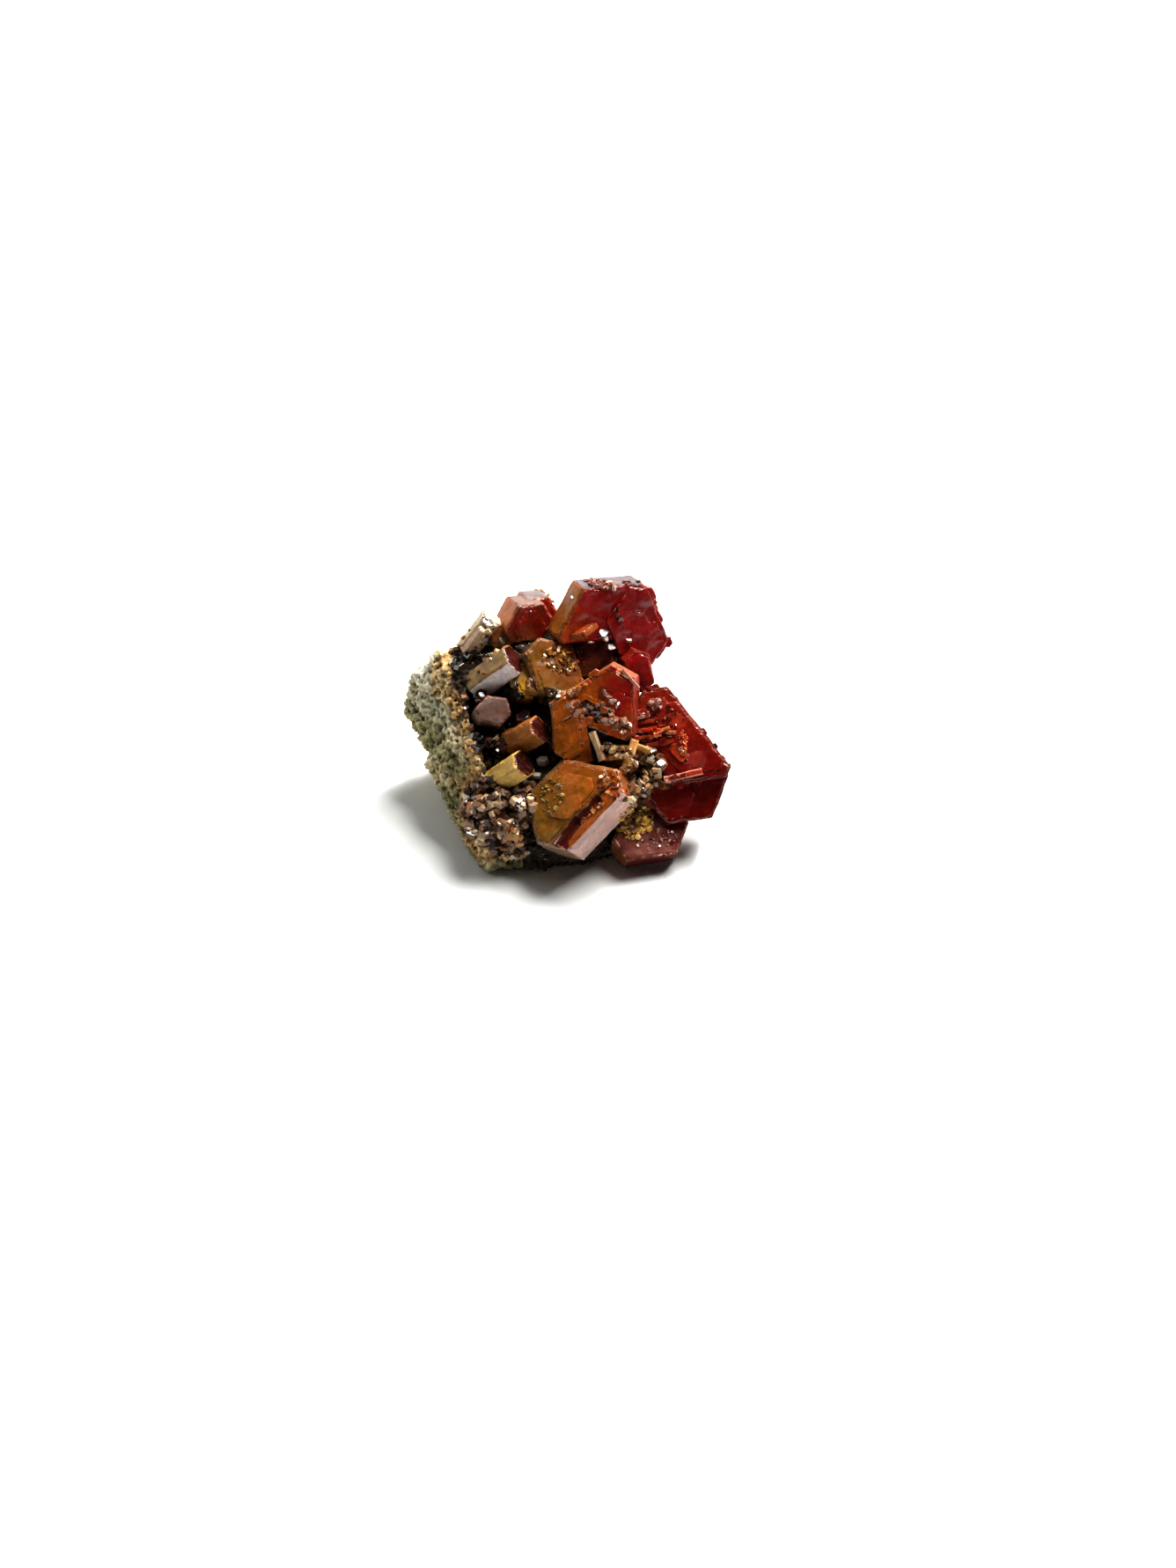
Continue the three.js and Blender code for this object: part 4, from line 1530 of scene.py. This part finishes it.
LOWER_LEFT = CrystalGroup(
    "lower_left_crystals",
    "brown_vanadinite",
    CrystalFinish(
        "tan_brown_crystal", ("#6a5238", "#846850", "#94704c"),
        (at(-10.0, -12.0, 2.0), at(-4.0, -6.0, 2.0)),
    ),
    "#7c6248",
    [
        *scattered(
            at(-7.4, -8.8, 2.3), along(-0.1, 0.1, 0.98), (2.8, 3.4), (0.5, 1.6), (0.4, 0.9),
            root=0.9, lean=0.8, count=22, seed=5,
        ),
        *scattered(
            at(-4.6, -8.6, 2.5), along(0.2, 0.1, 0.97), (0.8, 2.8), (0.4, 1.2), (0.4, 0.8),
            root=0.9, lean=0.6, count=8, seed=8,
        ),
    ],
    crust=(
        [
            at(-10.2, -5.6, 1.6),
            at(-6.4, -5.4, 2.6),
            at(-4.4, -8.2, 3.0),
            at(-4.4, -12.0, 2.4),
            at(-8.0, -12.6, 1.6),
            at(-10.4, -10.0, 1.2),
        ],
        2.2,
    ),
    tone=(0.35, 1.3),
    seed=11,
)
CENTRE_SMALL = CrystalGroup(
    "centre_small_crystals",
    "tan_vanadinite",
    CrystalFinish(
        "tan_orange_crystal", ("#7c4e24", "#7c4a24", "#7c3418"),
        (at(3.0, -3.0, 3.0), at(10.0, -6.0, 2.0)),
    ),
    "#7c5430",
    [
        # Tan sticks in a hollow; their pale colours are partly painted light where the hollow shades them
        Prism(
            at(2.2, -0.8, 5.0), along(-0.8, 2.4, 0.5), (0.34, 0.3, 0.3, 0.34, 0.3, 0.3), 3.0, 20.0, 0.05,
            "", "#f0cca0",
        ),
        Prism(at(5.8, -2.5, 4.5), along(1.8, -0.1, 0.1), 0.28, 2.2, 0.0, 0.05, "", "#f0bc68"),
        Prism(at(5.4, -3.2, 4.2), along(1.8, 0.2, 0.1), 0.3, 2.0, 0.0, 0.05, "", "#d89c60"),
        Prism(
            at(6.5, -1.6, 4.9), along(0.7, 2.15, 0.4), (0.38, 0.34, 0.34, 0.38, 0.34, 0.34), 3.2, 20.0,
            0.05, "", "#f0b068",
        ),
        Prism(at(8.0, -2.8, 4.1), along(1.0, -0.4, 0.2), 0.26, 2.0, 0.0, 0.05, "", "#e8b464"),
        Prism(
            at(3.5, -2.0, 4.1), along(0.0, 0.3, 1.0), (0.3, 0.26, 0.26, 0.3, 0.26, 0.26), 2.0, 20.0, 0.05,
            "#d0c0ac", "#c0ac90",
        ),
        *scattered(
            at(7.3, -5.0, 2.1), along(0.1, 0.1, 0.98), (2.0, 3.0), (0.4, 1.7), (0.35, 0.8),
            root=0.8, lean=0.8, count=20, seed=21,
        ),
    ],
    crust=(
        [
            at(3.4, -2.2, 2.4),
            at(7.8, -2.0, 2.4),
            at(9.6, -5.2, 2.0),
            at(8.6, -8.6, 1.4),
            at(6.0, -8.2, 1.6),
            at(3.6, -4.6, 2.4),
        ],
        1.8,
    ),
    tone=(0.4, 1.3),
    cell=0.12,
    seed=12,
)
BACK_RED = CrystalGroup(
    "back_red_crystal",
    "red_vanadinite",
    CrystalFinish(
        "red_back_crystal", ("#94481a", "#8c1c0c", "#780c08"),
        (point(0.0, 12.0, 8.0), point(7.0, 12.0, 14.0)), gloss=0.2,
    ),
    "#94602c",
    [
        Prism(
            point(4.5, 12.0, 12.6), Vector((0.15, 0.9, 0.4)), (3.2, 2.8, 3.0, 3.4, 2.9, 3.1), 4.6, 14.0,
            0.2,
        ),
        Prism(point(1.2, 12.2, 10.4), Vector((-0.1, 0.95, 0.15)), 2.0, 4.6, 40.0, 0.15),
    ],
    seed=13,
)
BACK_BROWN = CrystalGroup(
    "back_brown_crystal",
    "brown_vanadinite",
    CrystalFinish(
        "brown_back_crystal", ("#2a120c", "#4a2014", "#5c2a16"),
        (point(-7.0, 12.0, 6.0), point(-3.0, 12.0, 11.0)), gloss=0.2,
    ),
    "#7c5630",
    [
        Prism(
            point(-5.2, 11.6, 8.6), Vector((-0.25, 0.92, 0.3)), (2.4, 2.6, 2.2, 2.5, 2.7, 2.3),
            4.4, 5.0, 0.15,
        ),
    ],
    seed=14,
)
SIDE_RED = CrystalGroup(
    "side_red_crystal",
    "red_vanadinite",
    CrystalFinish(
        "red_side_crystal", ("#94441a", "#8c1c0c", "#740c08"),
        (point(8.0, 6.0, 4.0), point(11.0, 7.0, 9.0)), gloss=0.2,
    ),
    "#84401e",
    [
        Prism(
            point(10.0, 7.0, 6.4), Vector((0.65, 0.7, 0.25)), (2.3, 2.1, 2.5, 2.2, 2.4, 2.3),
            5.6, 22.0, 0.15,
        ),
    ],
    seed=15,
)
GROUPS = [
    UPPER_RED,
    UPPER_ORANGE,
    OLIVE,
    CENTRE_ORANGE,
    RIGHT_RED,
    FRONT_AMBER,
    RIM,
    BROWN,
    LOWER_LEFT,
    CENTRE_SMALL,
    BACK_RED,
    BACK_BROWN,
    SIDE_RED,
]

# Colours of the small crystals, a few for each kind of patch
PINKS = ("#a8705c", "#8a4a34", "#6a2a1c", "#c49a8c")
REDS = ("#8c2410", "#6a140c", "#a83c1c", "#4a0e08")
YELLOWS = ("#c48838", "#a47028", "#d8ac54", "#704c1a")
BELT = ("#a87858", "#7c4c30", "#c8a088", "#4a2414", "#b46030")
TANS = ("#b08450", "#8c6038", "#d0ac7c", "#54341c")
# Near-black browns: brown crystals darkened further with painted shade
SHADED_BROWNS = ("#140906", "#220e08", "#0c0604", "#442e1c")
GREYS = ("#a48668", "#6c4a32", "#d0b490", "#362014", "#946844", "#4c301e")
GLINTS = ("#d85c24", "#b83c14", "#e08c48", "#8c1c0c")
# Near-white crystals turned to mirror the hard lamp; their white is a painted highlight
PAINTED_SPARKLES = ("#e0d4d0", "#c4b4b0")

# Where the patches on the other sides are seen from
BACK = Vector((0.0, 1.0, 0.25))
RIGHT_SIDE = Vector((1.0, 0.35, 0.2))
LEFT_SIDE = Vector((-1.0, 0.2, 0.2))

FAR_CRYSTALS = [*BACK_RED.prisms, *BACK_BROWN.prisms, *SIDE_RED.prisms]

RED_DRUSE = Druse(
    "red_small_crystals",
    "red_vanadinite",
    [
        Patch((3.1, 13.8), (1.6, 0.4), -12.0, 60, (0.1, 0.3), PINKS, lean=0.5),
        Patch((5.0, 10.5), (0.22, 1.1), 20.0, 14, (0.1, 0.25), REDS, lean=0.4),
        Patch((8.6, 1.95), (0.9, 0.5), 20.0, 20, (0.12, 0.32), PINKS, lean=0.5),
        Patch((7.0, 0.7), (0.5, 0.35), 0.0, 10, (0.12, 0.28), PINKS, lean=0.5),
        Patch((11.2, -2.0), (0.4, 1.3), 0.0, 70, (0.08, 0.26), GLINTS, lean=0.8, axis=GLINT),
        Patch((11.1, -1.9), (0.35, 1.2), 0.0, 8, (0.07, 0.14), PAINTED_SPARKLES, lean=0.1, axis=GLINT),
        Patch(
            (8.2, -1.1), (2.0, 0.9), 6.0, 36, (0.08, 0.2), (*GLINTS, *REDS), Habit.COLUMN, 0.3, 0.1,
            along(1.0, 0.12, 0.2),
        ),
        Patch((9.6, 0.6), (1.8, 1.2), -20.0, 34, (0.08, 0.22), REDS, lean=0.5),
        Patch((11.9, 1.5), (2.6, 0.2), -54.0, 26, (0.08, 0.2), PINKS, lean=0.4),
        Patch((11.0, -5.4), (1.5, 0.25), 14.0, 12, (0.08, 0.22), PINKS, lean=0.4),
        Patch((8.4, -11.6), (2.2, 1.0), 5.0, 60, (0.05, 0.16), PINKS, lean=0.5),
        Patch((4.05, 2.5), (1.6, 0.2), -46.0, 24, (0.1, 0.22), PINKS, lean=0.5),
        Patch((-4.2, -0.6), (3.6, 2.2), -15.0, 90, (0.12, 0.5), (*REDS, *PINKS), lean=0.8, look=BACK),
        Patch((-7.6, -3.6), (2.2, 2.2), 0.0, 50, (0.12, 0.45), REDS, lean=0.8, look=BACK),
        Patch((2.5, -2.0), (5.0, 3.0), 30.0, 90, (0.12, 0.45), (*REDS, *TANS), lean=0.8, look=RIGHT_SIDE),
    ],
    seed=41,
    bare=FAR_CRYSTALS,
)
ORANGE_DRUSE = Druse(
    "orange_small_crystals",
    "orange_vanadinite",
    [
        Patch((2.3, 1.1), (2.5, 0.9), -16.0, 170, (0.14, 0.42), BELT, lean=1.0),
        Patch((5.0, -0.1), (1.2, 0.6), -16.0, 40, (0.12, 0.3), BELT, lean=0.8),
        Patch((0.4, 3.2), (1.6, 0.3), 25.0, 16, (0.1, 0.28), ("#c07430", "#a85018", "#c8946c"), lean=0.4),
        Patch(
            (4.3, -6.3), (1.6, 1.2), -40.0, 30, (0.09, 0.28), ("#a05820", "#843c14", "#c08448"), lean=0.5,
        ),
        Patch((2.4, -8.6), (2.2, 0.3), 42.0, 24, (0.08, 0.24), ("#a05820", "#7c3410", "#c08448"), lean=0.5),
    ],
    seed=42,
)
AMBER_DRUSE = Druse(
    "amber_small_crystals",
    "amber_vanadinite",
    [
        Patch((-0.9, 6.3), (1.7, 1.3), -20.0, 70, (0.09, 0.28), YELLOWS, lean=0.5),
        Patch(
            (-2.0, 2.7), (1.0, 0.9), 0.0, 50, (0.1, 0.32), ("#8c7c54", "#64543c", "#a8946c", "#3c2c18"),
            lean=0.9,
        ),
        Patch(
            (-1.8, -7.2), (1.2, 2.0), -20.0, 60, (0.05, 0.2), ("#8c7430", "#6a5420", "#a88c48"), lean=0.6,
        ),
        # Yellow crystals, brightened further as painted light where the crystals above shade them
        Patch(
            (6.4, -9.8), (1.9, 1.6), 30.0, 170, (0.08, 0.28),
            ("#dcac50", "#b88430", "#ecc878", "#8c6420"), lean=0.6,
        ),
    ],
    seed=43,
)
TAN_DRUSE = Druse(
    "tan_small_crystals",
    "tan_vanadinite",
    [
        Patch((4.6, -2.8), (1.6, 0.8), -8.0, 60, (0.1, 0.34), TANS, lean=1.2),
        Patch((7.2, -4.9), (2.0, 1.9), 0.0, 90, (0.12, 0.45), TANS, lean=1.3),
        Patch((7.0, -4.2), (2.4, 1.2), 0.0, 14, (0.1, 0.2), TANS, Habit.COLUMN, 1.2),
        Patch((6.6, -7.2), (1.3, 1.4), 0.0, 50, (0.12, 0.4), GREYS, lean=1.2),
        Patch((-8.4, 8.4), (0.5, 1.6), -38.0, 18, (0.12, 0.3), GREYS, lean=0.9),
        Patch((-7.9, 10.4), (0.5, 0.6), 0.0, 8, (0.2, 0.4), PAINTED_SPARKLES, Habit.PLATE, 0.2, 0.2, GLINT),
        Patch((-6.65, 8.45), (0.05, 0.05), 0.0, 1, (0.5, 0.55), PAINTED_SPARKLES, Habit.PLATE, 0.1, 0.2, GLINT),
        Patch((2.05, 8.1), (0.1, 0.1), 0.0, 1, (0.34, 0.4), PAINTED_SPARKLES, Habit.PLATE, 0.1, 0.0, GLINT),
        Patch((3.5, 9.0), (0.15, 0.4), 0.0, 2, (0.44, 0.55), PAINTED_SPARKLES, Habit.PLATE, 0.3, 0.0, GLINT),
        Patch((4.1, 7.6), (0.4, 0.1), 0.0, 2, (0.34, 0.42), PAINTED_SPARKLES, Habit.PLATE, 0.3, 0.0, GLINT),
        Patch((5.9, 8.1), (0.1, 0.1), 0.0, 1, (0.34, 0.38), PAINTED_SPARKLES, Habit.PLATE, 0.3, 0.0, GLINT),
        Patch((0.3, 12.4), (0.1, 0.1), 0.0, 1, (0.12, 0.14), PAINTED_SPARKLES, Habit.STUBBY, 0.1, 0.3, GLINT),
        Patch((9.0, -4.15), (0.05, 0.05), 0.0, 1, (0.4, 0.42), PAINTED_SPARKLES, Habit.STUBBY, 0.05, 0.3, GLINT),
        Patch((8.3, -3.7), (0.3, 0.3), 0.0, 2, (0.3, 0.4), ("#a89c84",), Habit.STUBBY, 0.5, 0.3),
        Patch(
            (-2.7, -3.9), (0.15, 0.15), 0.0, 2, (0.4, 0.5), ("#b0a898", "#d0c8bc"), Habit.STUBBY, 0.5,
            0.2,
        ),
        Patch((-3.4, -5.2), (0.1, 0.1), 0.0, 1, (0.25, 0.3), ("#d0c8bc",), Habit.STUBBY, 0.3, 0.2, GLINT),
        Patch((0.8, 2.6), (4.0, 1.6), 0.0, 110, (0.12, 0.5), TANS, lean=0.8, look=BACK),
        Patch((-2.0, 3.0), (4.0, 2.0), 0.0, 40, (0.1, 0.35), TANS, lean=0.8, look=LEFT_SIDE),
        Patch((-8.75, 2.85), (0.05, 0.05), 0.0, 1, (0.34, 0.38), PAINTED_SPARKLES, Habit.PLATE, 0.05, 0.3, GLINT),
        Patch((-8.3, -6.1), (0.05, 0.05), 0.0, 1, (0.3, 0.34), PAINTED_SPARKLES, Habit.PLATE, 0.05, 0.3, GLINT),
    ],
    seed=44,
    bare=FAR_CRYSTALS,
)
BROWN_DRUSE = Druse(
    "brown_small_crystals",
    "brown_vanadinite",
    [
        Patch((-7.4, 1.2), (2.7, 6.0), 0.0, 130, (0.2, 0.5), SHADED_BROWNS, lean=0.75),
        Patch(
            (-9.6, 1.4), (1.1, 2.4), 15.0, 50, (0.12, 0.38), ("#4a2c1c", "#6c4428", "#2c160e", "#8c6444"),
            lean=1.0,
        ),
        Patch((-8.6, -1.0), (1.3, 4.0), 10.0, 16, (0.12, 0.22), GREYS, Habit.COLUMN, 1.2),
        Patch((-10.3, 6.5), (1.2, 0.7), 30.0, 26, (0.2, 0.45), SHADED_BROWNS, lean=1.0),
        Patch((-7.6, -8.8), (3.0, 3.6), 15.0, 220, (0.1, 0.6), GREYS, lean=1.4),
        Patch((-7.6, -8.8), (3.0, 3.6), 15.0, 60, (0.2, 0.6), GREYS, Habit.PLATE, 1.4, 0.0),
        Patch((-4.6, -8.0), (1.0, 2.4), 0.0, 40, (0.16, 0.5), GREYS, lean=1.2),
        Patch((-5.9, -11.3), (0.9, 0.9), 0.0, 14, (0.25, 0.6), ("#a0682c", "#845024", "#c09058"), lean=1.0),
        Patch((-6.4, -12.4), (2.2, 0.8), -10.0, 50, (0.16, 0.5), GREYS, lean=1.2),
        Patch((-7.0, -8.4), (2.6, 2.6), 15.0, 18, (0.14, 0.26), GREYS, Habit.COLUMN, 1.4),
        Patch((4.4, -2.6), (3.4, 3.2), 0.0, 110, (0.12, 0.45), (*SHADED_BROWNS, *TANS), lean=0.8, look=BACK),
        Patch(
            (-10.1, -2.3), (0.5, 0.5), 0.0, 34, (0.15, 0.42), ("#a07c4c", "#c09c64", "#7c5c34"), lean=1.2,
        ),
        Patch((-8.0, -2.0), (1.5, 6.5), 5.0, 16, (0.08, 0.16), PAINTED_SPARKLES, Habit.STUBBY, 0.3, 0.2, GLINT),
        Patch((-7.2, -9.5), (2.6, 3.0), 5.0, 14, (0.08, 0.18), PAINTED_SPARKLES, Habit.STUBBY, 0.3, 0.2, GLINT),
    ],
    seed=45,
    bare=[*BROWN.prisms[:5], *FAR_CRYSTALS],
)
DRUSES = [RED_DRUSE, ORANGE_DRUSE, AMBER_DRUSE, TAN_DRUSE, BROWN_DRUSE]

ROCK_CORNERS = [
    # The rim and the outline on the left, as seen
    at(-13.1, 7.0, -1.5),
    at(-11.2, 7.2, -2.5),
    at(-15.6, 4.4, -4.0),
    at(-16.0, 1.5, -4.0),
    at(-14.9, -1.4, -3.5),
    at(-13.2, -6.0, -1.0),
    at(-11.9, -8.2, 0.0),
    at(-11.2, -10.8, 0.5),
    at(-9.9, -12.7, 1.0),
    at(-7.7, -13.9, 1.3),
    at(-4.6, -14.5, 1.0),
    at(-12.5, 5.4, 0.5),
    at(-11.2, 1.9, 1.5),
    at(-9.7, -3.3, 2.7),
    at(-9.0, -6.0, 3.3),
    at(-7.7, -8.6, 3.3),
    at(-4.2, -12.5, 2.5),
    at(-0.7, -13.2, 1.0),
    at(3.6, -12.9, 0.4),
    # Under the crystals
    at(2.4, 0.9, 1.4),
    at(3.0, 9.0, -2.4),
    at(-4.0, 9.6, -3.6),
    at(-7.2, 8.6, -3.2),
    at(8.5, -1.0, -1.0),
    at(6.5, -9.5, -0.6),
    # The back and the base
    point(-11.0, 8.5, 5.0),
    point(-3.0, 10.5, 7.0),
    point(5.0, 9.0, 5.0),
    point(9.0, 3.0, 4.0),
    point(6.0, 6.0, -1.2),
    point(-8.0, 8.0, -1.2),
    point(-11.5, 2.0, -1.2),
    point(-8.0, -9.0, -1.2),
    point(5.0, -8.0, -1.2),
]
RIM_LINE = [  # the crest of the rim, right and up as seen
    (-13.2, 6.8),
    (-13.1, 3.1),
    (-11.0, 0.0),
    (-9.8, -3.2),
    (-10.7, -5.7),
    (-10.9, -8.6),
    (-10.2, -12.1),
    (-8.6, -13.9),
]
LOW_EDGE = (-4.8, -13.0)  # where the rim's low end stops on the right, and how high it reaches
HOLLOW_CORNERS = [
    at(-10.9, 5.2, 5.0),
    at(-7.0, 8.5, 5.0),
    at(-1.0, 6.0, 5.0),
    at(-0.4, 0.0, 5.0),
    at(-1.6, -6.0, 5.0),
    at(-8.8, -5.6, 5.0),
    at(-10.4, -1.0, 5.0),
    at(-10.0, 4.2, -1.8),
    at(-6.6, 7.0, -2.6),
    at(-2.2, 4.0, -1.2),
    at(-1.6, -0.6, 0.6),
    at(-2.6, -5.0, 1.8),
    at(-8.4, -4.8, 1.2),
    at(-9.8, -0.6, -0.4),
]


@dataclass
class Studio:
    """White paper, soft light from above, and the camera at the picture's angle."""

    floor_size: float = 3000.0
    panel_power: float = 4.4
    panel_size: float = 280.0
    spark_power: float = 1.3
    spark_size: float = 50.0
    fill_power: float = 0.6
    fill_size: float = 300.0
    sky: str = "#e4e6ea"
    sky_strength: float = 0.6
    sky_from: Vector = Vector((-0.1, 0.74, 0.66))  # the bright side of the room
    sky_edge: tuple[float, float] = (0.4, 0.9)  # cosines between which the room turns bright
    sky_dark: float = 0.02
    exposure: float = 0.3
    gamma: float = 0.84  # a hard, contrasty picture
    nearest: float = 10.0  # what is nearer to the camera isn't shown

    def build(self) -> None:
        """Lays the paper, hangs the lamps, lights the room and sets up the camera."""
        self.lay_paper()
        self.hang_lamp(PANEL, self.panel_power, self.panel_size)
        self.hang_lamp(SPARK, self.spark_power, self.spark_size)
        self.hang_lamp(FILL, self.fill_power, self.fill_size)
        self.light_room()
        self.set_camera()
        picture = bpy.context.scene.view_settings
        picture.view_transform = "Standard"
        picture.exposure = self.exposure
        picture.gamma = self.gamma

    def lay_paper(self) -> None:
        """Lays the paper under the specimen."""
        bpy.ops.object.select_all(action="DESELECT")
        bpy.ops.mesh.primitive_plane_add(size=self.floor_size * MM)
        floor = bpy.context.object
        floor.name = "paper"
        floor.data.materials.append(PaperFinish().make())

    @staticmethod
    def hang_lamp(place: Vector, power: float, size: float) -> None:
        """Hangs a lamp that shines on the specimen.

        Args:
            place: where it hangs, in millimetres.
            power: its power in watts.
            size: its width in millimetres.
        """
        bpy.ops.object.light_add(type="AREA", location=place * MM)
        lamp = bpy.context.object
        lamp.data.energy = power
        lamp.data.size = size * MM
        lamp.rotation_mode = "QUATERNION"
        lamp.rotation_quaternion = (-place).to_track_quat("-Z", "Y")

    def light_room(self) -> None:
        """Sets the light of the room, which is dark on the near side."""
        world = bpy.data.worlds.new("room")
        bpy.context.scene.world = world
        world.use_nodes = True
        tree = world.node_tree
        background = tree.nodes["Background"]
        background.inputs["Color"].default_value = linear(self.sky)
        ahead = add_node(tree, "TexCoord").outputs["Generated"]
        facing = add_node(tree, "VectorMath", (ahead, self.sky_from), operation="DOT_PRODUCT")
        fade = (facing.outputs["Value"], *self.sky_edge, self.sky_dark, self.sky_strength)
        bright = add_node(tree, "MapRange", fade, interpolation_type="SMOOTHSTEP")
        tree.links.new(bright.outputs[0], background.inputs["Strength"])

    def set_camera(self) -> None:
        """Aims the camera so that the middle of the specimen stands where the picture has it."""
        bpy.ops.object.camera_add()
        camera = bpy.context.object
        eye = EYE * MM
        off_right = (PICTURE[0] / 2 - MIDDLE_PIXEL[0]) * MM_PER_PIXEL
        off_up = (MIDDLE_PIXEL[1] - PICTURE[1] / 2) * MM_PER_PIXEL
        aim = (MIDDLE + RIGHT * off_right + UP * off_up) * MM
        camera.location = eye
        camera.rotation_mode = "QUATERNION"
        camera.rotation_quaternion = (aim - eye).to_track_quat("-Z", "Y")
        camera.data.sensor_width = SENSOR
        camera.data.lens = SENSOR * VIEW_DISTANCE / (PICTURE[1] * MM_PER_PIXEL)
        camera.data.clip_start = self.nearest * MM
        bpy.context.scene.camera = camera


def ground_of(pieces: Sequence[bpy.types.Object]) -> BVHTree:
    """Gathers the surfaces of some pieces for rays to meet.

    Args:
        pieces: the pieces, still in millimetres.

    Returns:
        The surfaces.
    """
    places, faces = [], []
    total = 0
    for piece in pieces:
        own, _ = corners_of(piece.data)
        places.append(own)
        faces.extend(tuple(corner + total for corner in face.vertices) for face in piece.data.polygons)
        total += len(own)
    return BVHTree.FromPolygons(np.concatenate(places).tolist(), faces)


def main() -> None:
    """Builds the studio and the specimen around the solids."""
    logging.basicConfig(level=logging.INFO, format="%(message)s")
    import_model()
    Studio().build()
    rock = Rock()
    rock.build()
    for group in GROUPS:
        group.build()
    ground = ground_of([rock.piece, *(group.piece for group in GROUPS)])
    for druse in DRUSES:
        druse.build(ground)
    for part in (rock, *GROUPS, *DRUSES):
        part.dress()


if __name__ == "__main__":
    main()
